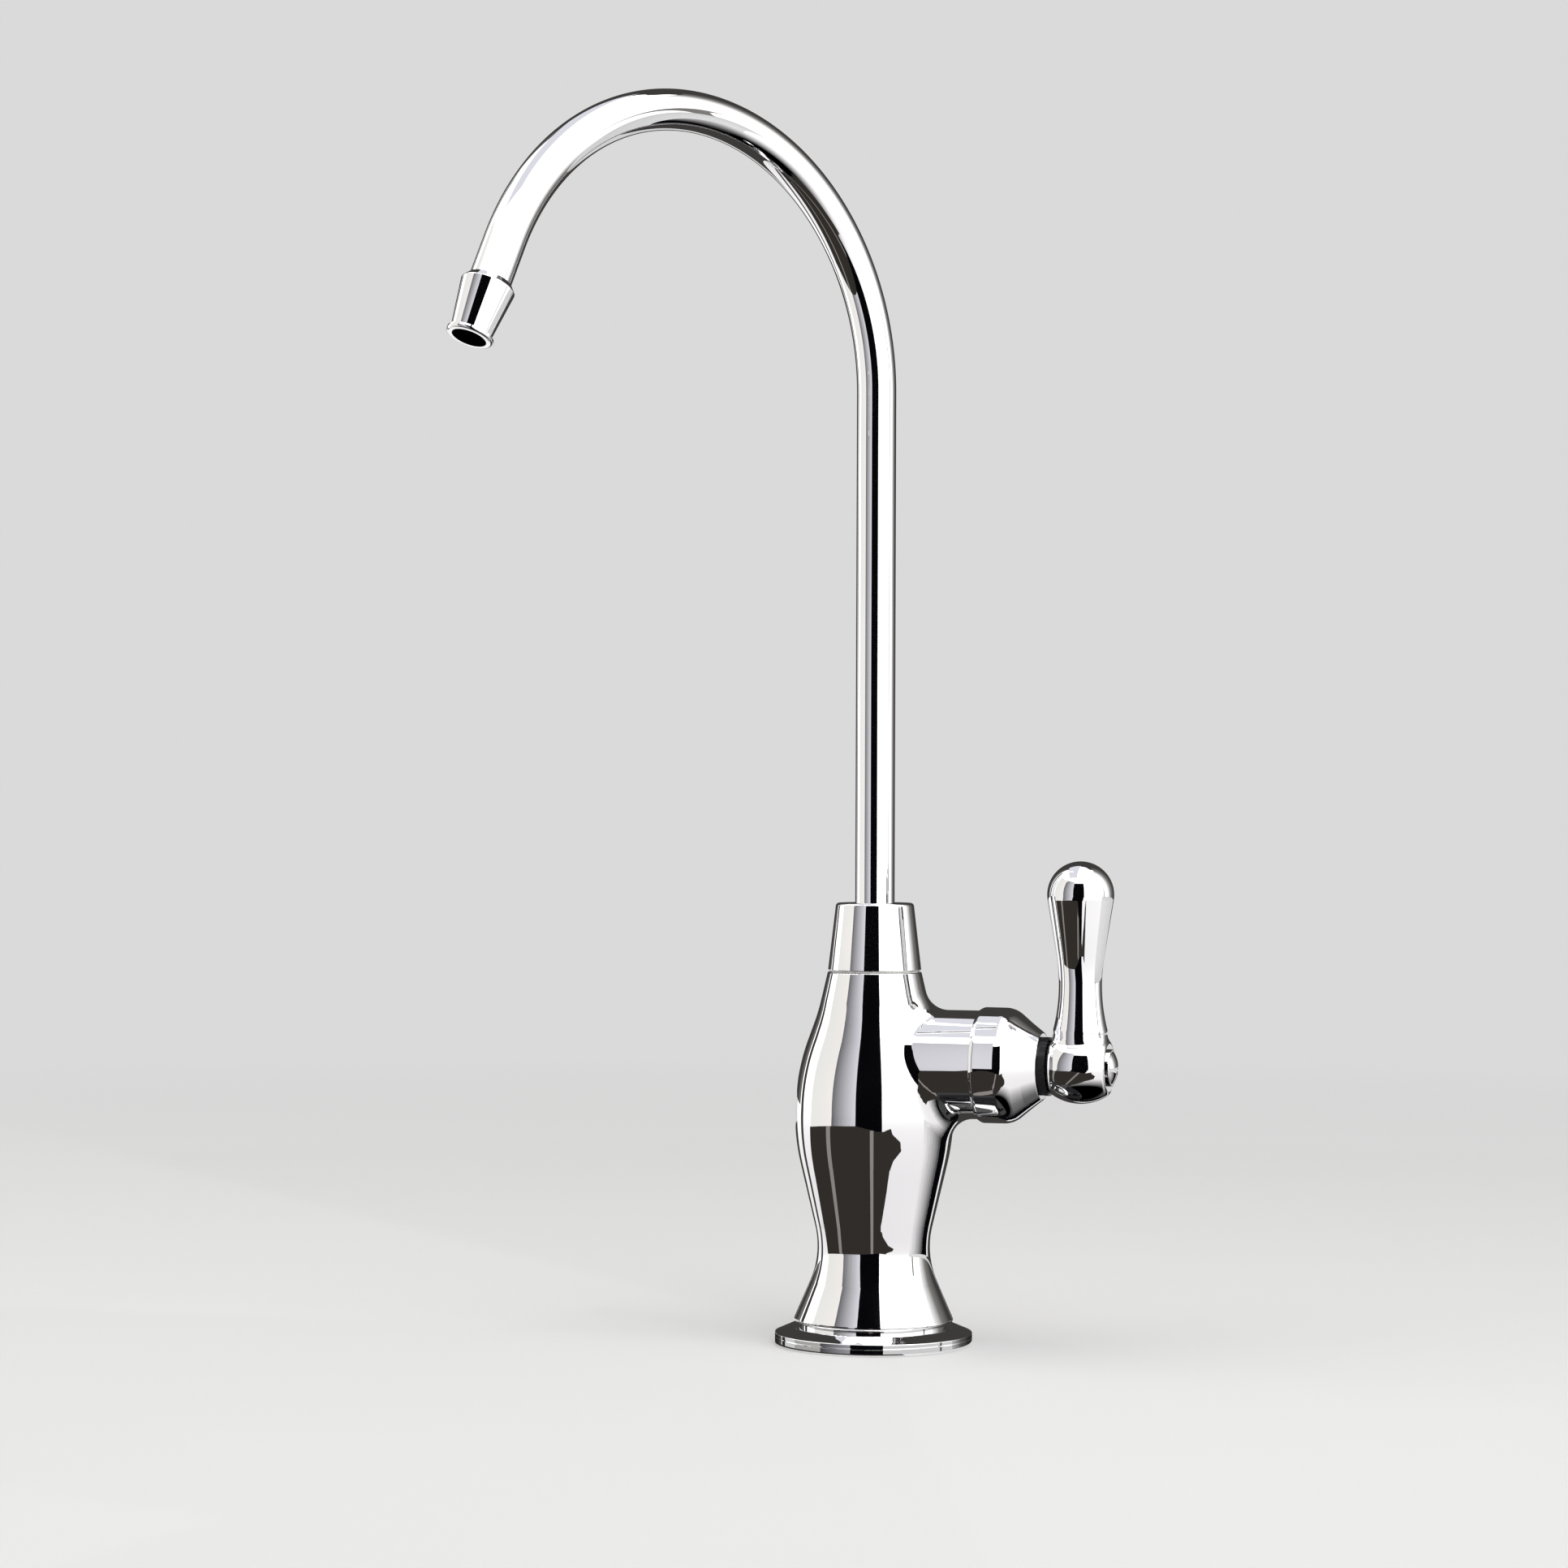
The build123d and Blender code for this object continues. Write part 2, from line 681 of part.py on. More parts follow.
def index_button():
    face_x = hub_end_x + index_ring_length
    plug_r = hub_counterbore_r - index_ring_wall - push_gap
    dome_arc_r = (button_dome_r**2 + button_dome_height**2) / (2 * button_dome_height)
    half_r = button_dome_r / 2
    half_height = button_dome_height - dome_arc_r + sqrt(dome_arc_r**2 - half_r**2)
    outline = [
        Line((0, face_x - button_plug_length), (plug_r, face_x - button_plug_length)),
        Line((plug_r, face_x - button_plug_length), (plug_r, face_x)),
        Line((plug_r, face_x), (button_dome_r, face_x)),
        ThreePointArc(
            (button_dome_r, face_x),
            (half_r, face_x + half_height),
            (0, face_x + button_dome_height),
        ),
        Line((0, face_x + button_dome_height), (0, face_x - button_plug_length)),
    ]
    return along_lever(revolve(Plane.XZ * make_face(outline), Axis.Z))


def spout_spigot():
    shoulder_top = spout_shoulder_bottom + spout_shoulder_length
    sleeve_top = shoulder_top + spout_sleeve_length
    plug_r = spout_socket_r - turning_gap
    shape = band(spigot_bottom, spout_shoulder_bottom + push_gap, plug_r)
    shape += band(spout_shoulder_bottom, shoulder_top, spout_shoulder_r)
    shape += band(shoulder_top - push_gap, sleeve_top, spout_sleeve_r)
    shape -= band(spigot_bottom - overrun, tube_bottom, spout_bore_r)
    shape -= band(tube_bottom - push_gap, sleeve_top + overrun, tube_r + push_gap)
    half = spout_groove_width / 2
    for height in spout_ring_heights:
        middle = spigot_bottom + height
        shape -= band(middle - half, middle + half, plug_r + overrun, plug_r - spout_groove_depth)
    clip_low = spigot_bottom + circlip_height - push_gap
    clip_high = clip_low + circlip_thickness + 2 * push_gap
    clip_r_inner = spout_socket_r + circlip_groove_depth / 2 - circlip_width - push_gap
    shape -= band(clip_low, clip_high, plug_r + overrun, clip_r_inner)
    return shape


def spout_o_rings():
    middle_r = spout_socket_r - ring_gap - spout_ring_section_r
    rings = []
    for height in spout_ring_heights:
        rings.append(o_ring(middle_r, spout_ring_section_r, spigot_bottom + height))
    return Compound(rings)


def spout_circlip():
    low = spigot_bottom + circlip_height
    outer_r = spout_socket_r + circlip_groove_depth / 2
    return open_ring(low, low + circlip_thickness, outer_r, outer_r - circlip_width, circlip_gap_width)


def swivel_washer():
    return band(body_top, washer_top, swivel_washer_r, spout_socket_r + washer_gap)


def spout_collar():
    points = [
        (0, collar_bottom),
        (collar_bottom_r, collar_bottom),
        (collar_top_r, collar_top),
        (0, collar_top),
    ]
    radii = [0, collar_foot_edge_r, collar_edge_r, 0]
    shape = turned(points, radii)
    shoulder_top = spout_shoulder_bottom + spout_shoulder_length + push_gap
    sleeve_top = shoulder_top + spout_sleeve_length
    shape -= band(collar_bottom - overrun, shoulder_top, spout_shoulder_r + push_gap)
    shape -= band(shoulder_top - overrun, sleeve_top, spout_sleeve_r + push_gap)
    shape -= band(sleeve_top - overrun, collar_top + overrun, tube_r + push_gap)
    return shape


def tube_end():
    """The plane at the visible end of the spout tube, in the arch's own vertical plane along +X."""
    turn = radians(arch_sweep)
    reach = arch_r * (1 - cos(turn)) + tube_tail * sin(turn)
    height = arch_start_height + arch_r * sin(turn) + tube_tail * cos(turn)
    return Plane(origin=(reach, 0, height), x_dir=(0, 1, 0), z_dir=(sin(turn), 0, cos(turn)))


def spout_tube():
    turn = radians(arch_sweep)
    foot = (0, 0, tube_bottom)
    start = (0, 0, arch_start_height)
    crown = (arch_r * (1 - cos(turn / 2)), 0, arch_start_height + arch_r * sin(turn / 2))
    finish = (arch_r * (1 - cos(turn)), 0, arch_start_height + arch_r * sin(turn))
    tail = tube_tail + nozzle_socket_depth - face_gap
    tip = (finish[0] + tail * sin(turn), 0, finish[2] + tail * cos(turn))
    path = Wire([Line(foot, start), ThreePointArc(start, crown, finish), Line(finish, tip)])
    section = Plane(origin=foot, z_dir=(0, 0, 1)) * (Circle(tube_r) - Circle(tube_r - tube_wall))
    length = (arch_start_height - tube_bottom) + arch_r * turn + tail
    shape = sweep(section, path=path)
    area = section.area
    print("spout tube volume over section times length:", round(shape.volume / (area * length), 5))
    return Rot(0, 0, spout_azimuth) * shape


def spout_nozzle():
    lip_start = nozzle_length - nozzle_lip_length
    points = [
        (0, 0),
        (nozzle_mouth_r, 0),
        (nozzle_shoulder_r, nozzle_chamfer),
        (nozzle_throat_r, lip_start),
        (nozzle_lip_r, lip_start + nozzle_lip_edge_r / 2),
        (nozzle_lip_r, nozzle_length),
        (0, nozzle_length),
    ]
    radii = [0, 0, nozzle_lip_edge_r / 2, 0, 0, nozzle_lip_edge_r, 0]
    shape = turned(points, radii)
    shape -= band(-overrun, nozzle_socket_depth, tube_r + push_gap)
    shape -= band(nozzle_socket_depth - overrun, nozzle_length + overrun, nozzle_bore_r)
    return Rot(0, 0, spout_azimuth) * (tube_end().location * shape)


def threaded_shank():
    top = shank_socket_top - shank_seal_thickness
    shape = band(-shank_below_deck, top, shank_r)
    shape -= band(-shank_below_deck - overrun, top + overrun, shank_bore_r)
    socket_top = -shank_below_deck + inlet_socket_depth
    socket_r = inlet_tube_r + inlet_socket_gap
    shape -= band(-shank_below_deck - overrun, socket_top, socket_r)
    cone_points = [
        (0, -shank_below_deck),
        (inlet_cone_r, -shank_below_deck),
        (socket_r, -shank_below_deck + inlet_cone_length),
        (0, -shank_below_deck + inlet_cone_length),
    ]
    return shape - turned(cone_points)


def shank_seal():
    return band(shank_socket_top - shank_seal_thickness, shank_socket_top, shank_seal_r, shank_seal_bore_r)


def deck_stack():
    """The heights where each piece of the clamping stack starts, from the deck's underside down."""
    rubber_low = -deck_thickness - rubber_washer_thickness
    steel_low = rubber_low - steel_washer_thickness
    spring_low = steel_low - spring_washer_thickness
    nut_low = spring_low - mounting_nut_height
    return rubber_low, steel_low, spring_low, nut_low


def deck_rubber_washer():
    rubber_low = deck_stack()[0]
    return band(rubber_low, -deck_thickness, rubber_washer_r, shank_r + washer_gap)


def deck_steel_washer():
    rubber_low, steel_low = deck_stack()[:2]
    return band(steel_low, rubber_low, steel_washer_r, shank_r + washer_gap)


def spring_washer():
    steel_low, spring_low = deck_stack()[1:3]
    return open_ring(spring_low, steel_low, spring_washer_r, shank_r + washer_gap, spring_washer_slit)


def mounting_nut():
    spring_low, nut_low = deck_stack()[2:]
    nut = hexagon_prism(mounting_nut_flats, nut_low, spring_low)
    return nut - band(nut_low - overrun, spring_low + overrun, shank_r + thread_gap)


def inlet_nut():
    cone_start = -shank_below_deck - inlet_cone_length
    top = cone_start + inlet_nut_thread_length
    bottom = top - inlet_nut_length
    nut = hexagon_prism(inlet_nut_flats, bottom, top)
    nut -= band(cone_start, top + overrun, shank_r + thread_gap)
    hole_r = inlet_tube_r + inlet_socket_gap + push_gap
    cone_points = [
        (0, cone_start + push_gap),
        (ferrule_r + washer_gap, cone_start + push_gap),
        (hole_r, cone_start - inlet_nut_cone_length),
        (0, cone_start - inlet_nut_cone_length),
    ]
    nut -= turned(cone_points)
    return nut - band(bottom - overrun, cone_start, hole_r)


def inlet_ferrule():
    top = -shank_below_deck + inlet_cone_length / 2
    bottom = top - ferrule_length
    bore_r = inlet_tube_r + push_gap
    points = [
        (bore_r, bottom),
        (ferrule_end_r, bottom),
        (ferrule_r, bottom + ferrule_taper),
        (ferrule_r, top - ferrule_taper),
        (ferrule_end_r - push_gap, top),
        (bore_r, top),
    ]
    return turned(points)


pieces = {
    "base_flange": base_flange,
    "base_gasket": base_gasket,
    "valve_body": valve_body,
    "threaded_shank": threaded_shank,
    "shank_seal": shank_seal,
    "deck_rubber_washer": deck_rubber_washer,
    "deck_steel_washer": deck_steel_washer,
    "spring_washer": spring_washer,
    "mounting_nut": mounting_nut,
    "inlet_nut": inlet_nut,
    "inlet_ferrule": inlet_ferrule,
    "inlet_seal": inlet_seal,
    "fixed_disc": fixed_disc,
    "moving_disc": moving_disc,
    "cartridge_body": cartridge_body,
    "cartridge_o_ring": cartridge_o_ring,
    "cartridge_stem": cartridge_stem,
    "stem_o_rings": stem_o_rings,
    "thrust_washer": thrust_washer,
    "stem_clip": stem_clip,
    "bonnet": bonnet,
    "stem_bush": stem_bush,
    "lever_handle": lever_handle,
    "handle_screw": handle_screw,
    "index_ring": index_ring,
    "index_button": index_button,
    "swivel_washer": swivel_washer,
    "spout_spigot": spout_spigot,
    "spout_o_rings": spout_o_rings,
    "spout_circlip": spout_circlip,
    "spout_collar": spout_collar,
    "spout_tube": spout_tube,
    "spout_nozzle": spout_nozzle,
}

os.makedirs("parts", exist_ok=True)
for name, make in pieces.items():
    export_step(make(), f"parts/{name}.step")
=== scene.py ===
from math import cos, pi, radians, sin

import bmesh
import bpy
from mathutils import Matrix, Vector


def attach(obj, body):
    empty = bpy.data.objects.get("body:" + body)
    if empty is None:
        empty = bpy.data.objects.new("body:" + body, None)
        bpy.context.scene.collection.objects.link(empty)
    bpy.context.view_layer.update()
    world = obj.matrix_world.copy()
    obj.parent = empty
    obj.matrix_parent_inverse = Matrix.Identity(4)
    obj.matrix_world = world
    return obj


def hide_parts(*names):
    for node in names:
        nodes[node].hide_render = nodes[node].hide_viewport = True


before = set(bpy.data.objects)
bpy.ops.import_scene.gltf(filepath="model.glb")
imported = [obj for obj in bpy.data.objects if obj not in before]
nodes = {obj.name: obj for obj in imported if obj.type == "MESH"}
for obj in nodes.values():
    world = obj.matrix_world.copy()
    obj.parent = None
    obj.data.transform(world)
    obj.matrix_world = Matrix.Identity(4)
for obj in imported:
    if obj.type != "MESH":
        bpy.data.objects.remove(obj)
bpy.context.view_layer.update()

# The camera stands where the photograph was taken from: a little to the lever's side of the
# front, level with the belly of the body, with a long lens and a hair of roll.
camera_place = Vector((0.2603, -0.9137, 0.1338))
camera_forward = Vector((-0.29737, 0.95473, 0.00838))
camera_roll = radians(0.21)
camera_data = bpy.data.cameras.new("photo_camera")
camera_data.lens = 85.86
camera_data.sensor_width = 36.0
camera_data.clip_start = 0.01
camera_data.clip_end = 60.0
camera = bpy.data.objects.new("photo_camera", camera_data)
bpy.context.scene.collection.objects.link(camera)
aim = camera_forward.to_track_quat("-Z", "Y").to_matrix().to_4x4()
roll = Matrix.Rotation(camera_roll, 4, "Z")
camera.matrix_world = Matrix.Translation(camera_place) @ aim @ roll
bpy.context.scene.camera = camera
bpy.context.scene.view_settings.view_transform = "Standard"


# The studio is a round pale floor whose rim sweeps up into a low wall, so that no horizon shows
# from any side. It is matt painted board, and it plays the deck that the tap stands on.
floor_r = 3.2
floor_ring_radii = (0.4, 1.2)
sweep_r = 1.4
sweep_steps = 24
wall_top = 2.4
board_steps = 96
board_colour = (0.80, 0.80, 0.79, 1.0)
board_roughness = 0.9
board_specular = 0.1


def mesh_object(name, builder):
    """An object at the origin from a finished bmesh."""
    mesh = bpy.data.meshes.new(name)
    builder.to_mesh(mesh)
    builder.free()
    made = bpy.data.objects.new(name, mesh)
    bpy.context.scene.collection.objects.link(made)
    return made


def turned_mesh(name, outline, steps, closed=False):
    """Turns (radius, height) points about +Z, with a single point wherever the radius is zero."""
    builder = bmesh.new()
    rings = []
    for radius, height in outline:
        if radius == 0:
            rings.append([builder.verts.new((0, 0, height))])
            continue
        ring = []
        for step in range(steps):
            turn = 2 * pi * step / steps
            ring.append(builder.verts.new((radius * cos(turn), radius * sin(turn), height)))
        rings.append(ring)
    pairs = list(zip(rings, rings[1:]))
    if closed:
        pairs.append((rings[-1], rings[0]))
    for low, high in pairs:
        for step in range(steps):
            after = (step + 1) % steps
            if len(low) == 1:
                corners = [low[0], high[after], high[step]]
            elif len(high) == 1:
                corners = [low[step], low[after], high[0]]
            else:
                corners = [low[step], low[after], high[after], high[step]]
            builder.faces.new(corners)
    bmesh.ops.recalc_face_normals(builder, faces=builder.faces)
    for face in builder.faces:
        face.smooth = True
    return mesh_object(name, builder)


def add_node(tree, kind, values=(), **settings):
    """Adds a node, sets its properties, and fills inputs from (socket, value or output) pairs."""
    made = tree.nodes.new(kind)
    for key, value in settings.items():
        setattr(made, key, value)
    for socket, value in values:
        if isinstance(value, bpy.types.NodeSocket):
            tree.links.new(value, made.inputs[socket])
        else:
            made.inputs[socket].default_value = value
    return made


board_outline = [(0, 0), *((radius, 0) for radius in floor_ring_radii), (floor_r, 0)]
for step in range(1, sweep_steps + 1):
    turn = pi / 2 * step / sweep_steps
    board_outline.append((floor_r + sweep_r * sin(turn), sweep_r * (1 - cos(turn))))
board_outline.append((floor_r + sweep_r, wall_top))
studio_board = turned_mesh("studio_board", board_outline, board_steps)
board_paint = bpy.data.materials.new("Matt board")
board_paint.use_nodes = True
paint = board_paint.node_tree.nodes["Principled BSDF"]
paint.inputs["Base Color"].default_value = board_colour
paint.inputs["Roughness"].default_value = board_roughness
paint.inputs["Specular IOR Level"].default_value = board_specular
studio_board.data.materials.append(board_paint)

# Away from the tap, the board shows an even pale tone to the camera and in reflections. Near the
# tap it keeps its own shading, and with it the tap's soft shadow.
backdrop_tone = 0.70
even_from_r = 0.2
even_to_r = 1.1
tree = board_paint.node_tree
place = tree.nodes.new("ShaderNodeTexCoord").outputs["Object"]
flat_place = add_node(tree, "ShaderNodeVectorMath", (
    (0, place), (1, (1.0, 1.0, 0.0))), operation="MULTIPLY")
reach = add_node(tree, "ShaderNodeVectorMath", ((0, flat_place.outputs[0]),), operation="LENGTH")
evenness = add_node(tree, "ShaderNodeMapRange", (
    ("Value", reach.outputs["Value"]), ("From Min", even_from_r), ("From Max", even_to_r)))
ray = tree.nodes.new("ShaderNodeLightPath").outputs
mirrored = add_node(tree, "ShaderNodeMath", (
    (0, ray["Is Glossy Ray"]), (1, ray["Is Transmission Ray"])), operation="MAXIMUM")
seen = add_node(tree, "ShaderNodeMath", (
    (0, ray["Is Camera Ray"]), (1, mirrored.outputs[0])), operation="MAXIMUM")
share = add_node(tree, "ShaderNodeMath", (
    (0, evenness.outputs[0]), (1, seen.outputs[0])), operation="MULTIPLY")
glow = add_node(tree, "ShaderNodeEmission", (
    ("Color", (backdrop_tone, backdrop_tone, backdrop_tone, 1.0)), ("Strength", 1.0)))
blend = add_node(tree, "ShaderNodeMixShader", (
    (0, share.outputs[0]), (1, paint.outputs[0]), (2, glow.outputs[0])))
tree.links.new(blend.outputs[0], tree.nodes["Material Output"].inputs["Surface"])

# Soft boxes light the tap from the right, the left and above, and an even pale sky fills in.
# Three stand round its front, turned to its middle, and the fourth hangs over it.
sky_colour = (0.98, 0.98, 1.0, 1.0)
sky_strength = 0.42
lamp_target = Vector((0, 0, 0.12))
upright_height = 0.9
upright_tall = 2.2
world = bpy.data.worlds.new("Studio sky")
world.use_nodes = True
world.node_tree.nodes["Background"].inputs["Color"].default_value = sky_colour
world.node_tree.nodes["Background"].inputs["Strength"].default_value = sky_strength
bpy.context.scene.world = world


def around(azimuth, distance, height):
    """A place round the tap: azimuth 0 is the front, and it grows towards the lever's side."""
    return Vector((distance * sin(radians(azimuth)), -distance * cos(radians(azimuth)), height))


def soft_box(name, place, width, tall, brightness, colour):
    """A rectangular lamp of even brightness that faces the tap."""
    lamp = bpy.data.lights.new(name, "AREA")
    lamp.shape = "RECTANGLE"
    lamp.size = width
    lamp.size_y = tall
    lamp.energy = brightness * pi * width * tall
    lamp.color = colour
    holder = bpy.data.objects.new(name, lamp)
    bpy.context.scene.collection.objects.link(holder)
    holder.location = place
    holder.rotation_mode = "QUATERNION"
    holder.rotation_quaternion = (lamp_target - holder.location).to_track_quat("-Z", "Y")
    holder.visible_camera = False


soft_box("right_soft_box", around(57, 1.5, upright_height), width=1.85, tall=upright_tall,
         brightness=1.7, colour=(1.0, 1.0, 1.0))
soft_box("left_soft_box", around(-31, 1.6, upright_height), width=1.18, tall=upright_tall,
         brightness=0.62, colour=(0.93, 0.92, 1.0))
soft_box("warm_soft_box", around(-77, 1.6, upright_height), width=1.56, tall=upright_tall,
         brightness=0.86, colour=(1.0, 0.97, 0.92))
soft_box("top_soft_box", around(0, 0.05, 2.3), width=2.0, tall=2.0,
         brightness=1.1, colour=(1.0, 1.0, 1.0))

# Cards bent round the tap, seen only in reflections, give the polished metal its stripes. A white
# surround and ceiling stand behind them, and each card's tone runs evenly between its corners.
# A card's span is the pair of azimuths that it lies between.
white = (1.5, 1.5, 1.5)
plain_white = (1.0, 1.0, 1.0)
black = (0.002, 0.002, 0.003)
dark_grey = (0.050, 0.047, 0.045)
mid_grey = (0.22, 0.21, 0.20)
violet_dark = (0.15, 0.15, 0.16)
violet_light = (0.75, 0.745, 0.79)
cream_cool = (0.88, 0.88, 0.85)
cream_warm = (0.97, 0.93, 0.885)
overhead_violet = (0.78, 0.78, 0.84)
card_step_degrees = 6
room_top = 2.35
ceiling_hole_r = 0.01
ceiling_r = 2.0
surround_r = 1.50
back_r = 1.42
stripe_r = 1.20
stripe_top = 1.31
stripe_far = 1.38
front_r = 1.15
front_top = 1.06
right_line_r = 1.30
right_line_top = 0.42
overhead_back_near = 0.95
overhead_back_height = 2.32
overhead_height = 1.74
overhead_corners = ((-0.85, -0.88), (-0.10, -0.88), (-0.10, 0.85), (-0.85, 0.85))
left_line_span = (-117, -109)
left_line_near = 0.06
left_line_layer = 0.0006
stripes = (
    ("front", (-11, 27), front_r, front_top, black, black),
    ("violet", (-48, -11), stripe_r, stripe_top, violet_dark, violet_light),
    ("cream", (-88, -48), stripe_r, stripe_top, cream_cool, cream_warm),
)


def card_material(name):
    """A material that glows in the tones of a card's corners."""
    material = bpy.data.materials.new(name)
    material.use_nodes = True
    tree = material.node_tree
    tone = add_node(tree, "ShaderNodeAttribute", attribute_name="Tone")
    glow = add_node(tree, "ShaderNodeEmission", (
        ("Color", tone.outputs["Color"]), ("Strength", 1.0)))
    tree.links.new(glow.outputs[0], tree.nodes["Material Output"].inputs["Surface"])
    return material


card_tones = card_material("Card tones")


def reflected_card(name, faces, material=card_tones):
    """A card from faces of (corner, tone) pairs, which only reflections show."""
    builder = bmesh.new()
    layer = builder.loops.layers.float_color.new("Tone")
    for corners in faces:
        face = builder.faces.new([builder.verts.new(corner) for corner, tone in corners])
        for loop, (corner, tone) in zip(face.loops, corners):
            loop[layer] = (*tone, 1.0)
    card = mesh_object(name, builder)
    card.data.materials.append(material)
    card.visible_camera = False
    card.visible_diffuse = False
    card.visible_shadow = False
    card.visible_transmission = False


def bent_card(name, span, near, far, tone, last_tone=None, far_tone=None, material=card_tones):
    """A card over a span of azimuths between two (distance, height) edges."""
    first, last = span
    steps = max(1, round((last - first) / card_step_degrees))
    rows = []
    for step in range(steps + 1):
        share = step / steps
        azimuth = first + (last - first) * share
        inner = Vector(tone).lerp(Vector(last_tone or tone), share)
        outer = Vector(far_tone) if far_tone else inner
        rows.append(((around(azimuth, *near), inner), (around(azimuth, *far), outer)))
    faces = [(low[0], low[1], high[1], high[0]) for low, high in zip(rows, rows[1:])]
    reflected_card(name, faces, material)


def standing_card(name, span, distance, top, tone, last_tone=None):
    """A bent card that stands on the floor."""
    bent_card(name, span, (distance, 0.0), (distance, top), tone, last_tone)


def level_card(name, span, near, far, height, tone, last_tone=None, far_tone=None,
               material=card_tones):
    """A flat card that lies at one height between two distances."""
    bent_card(name, span, (near, height), (far, height), tone, last_tone, far_tone, material)


standing_card("white_surround", (-122, 122), surround_r, room_top, white)
level_card("ceiling_card", (0, 360), ceiling_hole_r, ceiling_r, room_top, white)
level_card("overhead_back_card", (138, 226), overhead_back_near, back_r, overhead_back_height,
           dark_grey)
reflected_card("overhead_card", [[
    ((x, y, overhead_height), overhead_violet) for x, y in overhead_corners]])
for stripe, span, distance, top, tone, last_tone in stripes:
    standing_card(f"{stripe}_card", span, distance, top, tone, last_tone)
standing_card("left_line_card", left_line_span, stripe_r, stripe_top, dark_grey)
level_card("left_line_floor_card", left_line_span, left_line_near, stripe_far, left_line_layer,
           dark_grey)
standing_card("right_line_card", (99, 102), right_line_r, right_line_top, mid_grey)
standing_card("left_fade_card", (-134, -120), back_r, room_top, dark_grey, mid_grey)
standing_card("right_fade_card", (120, 138), back_r, room_top, plain_white, mid_grey)
standing_card("back_right_card", (138, 160), back_r, room_top, mid_grey, dark_grey)
standing_card("back_card", (160, 226), back_r, room_top, dark_grey)

# The floor in front shows as a dark counter with two paler streaks, painted reflections of light
# in its polish, and past it the standing cards' stripes go on. Close round the base it is dark
# glass, which mirrors them at a low angle.
# The cards lie in layers of fractions of a millimetre, the narrow ones on top.
brown_grey = (0.034, 0.029, 0.025)
counter_glint = (0.27, 0.25, 0.235)
floor_white = (0.90, 0.88, 0.885)
side_layer = 0.0003
stripe_layer = 0.00035
counter_layer = 0.0004
back_layer = 0.0005
glass_layer = 0.0006
near_right_layer = 0.0007
streak_layer = 0.0008
glass_near = 0.0257
glass_far = 0.052
stripe_near = 0.27
side_near = 0.10
side_far = 1.45
shade_far = 0.40
front_streak_far = 0.31
back_streak_near = 0.070
back_near = 0.028
back_far = 0.60
counter_far = 0.42
counter_rim_azimuths = range(-90, -9, 10)
counter_front = [(0.0, -0.375), (0.058, -0.325), (0.100, -0.280), (0.150, -0.262)]
counter_right = [
    (0.230, -0.280), (0.180, -0.200), (0.160, -0.120), (0.125, -0.086), (0.080, -0.082),
    (0.030, -0.055),
]
glass_ior = 1.35
glass_roughness = 0.04

dark_glass = card_material("Dark glass")
tree = dark_glass.node_tree
mirror = add_node(tree, "ShaderNodeBsdfAnisotropic", (
    ("Color", (1.0, 1.0, 1.0, 1.0)), ("Roughness", glass_roughness)))
glance = add_node(tree, "ShaderNodeFresnel", (("IOR", glass_ior),))
polished = add_node(tree, "ShaderNodeMixShader", (
    (0, glance.outputs[0]), (1, tree.nodes["Emission"].outputs[0]), (2, mirror.outputs[0])))
tree.links.new(polished.outputs[0], tree.nodes["Material Output"].inputs["Surface"])

# The right-hand floor carries a painted sheen: its glow is full at a low angle and goes dark
# where it is seen from above.
painted_floor_sheen = card_material("Gleaming floor")
tree = painted_floor_sheen.node_tree
slant = add_node(tree, "ShaderNodeLayerWeight", (("Blend", 0.5),)).outputs["Facing"]
gleam = add_node(tree, "ShaderNodeMapRange", (
    ("Value", slant), ("From Min", 0.15), ("From Max", 0.45)))
tree.links.new(gleam.outputs[0], tree.nodes["Emission"].inputs["Strength"])

counter_rim = [around(azimuth, counter_far, 0).to_2d() for azimuth in counter_rim_azimuths]
counter_outline = [(0.0, 0.01), *counter_rim, *counter_front, *counter_right]
reflected_card("counter_card", [[((x, y, counter_layer), brown_grey) for x, y in counter_outline]])
level_card("near_floor_card", (-92, 150), glass_near, glass_far, glass_layer, black,
           material=dark_glass)
for stripe, span, *_, tone, last_tone in stripes:
    level_card(f"{stripe}_floor_card", span, stripe_near, stripe_far, stripe_layer, tone, last_tone)
# The two streak cards are painted reflections of light on the counter.
level_card("left_streak_card", (-57, -50), glass_far, counter_far, streak_layer, counter_glint)
level_card("front_streak_card", (10, 15), glass_far, front_streak_far, streak_layer, counter_glint)
# These floor cards glow with the painted sheen of the floor, and the shade card darkens it towards the
# back as painted shade.
level_card("right_floor_card", (20, 92), glass_far, side_far, side_layer, floor_white,
           far_tone=white, material=painted_floor_sheen)
level_card("right_shade_card", (92, 130), glass_far, shade_far, side_layer, floor_white, black,
           material=painted_floor_sheen)
level_card("near_right_card", (130, 150), glass_far, shade_far, near_right_layer, black)
level_card("back_streak_card", (150, 158), back_streak_near, shade_far, streak_layer, floor_white)
level_card("left_floor_card", (-134, -88), side_near, side_far, side_layer, floor_white,
           far_tone=white)
level_card("back_floor_card", (150, 226), back_near, back_far, back_layer, dark_grey)


# The base gasket is a flat ring of moulded black rubber. It sits in a recess under the flange and
# seals it to the deck.
rubber_shades = ((0.016, 0.016, 0.017), (0.030, 0.029, 0.028))
number = "NodeSocketFloat"


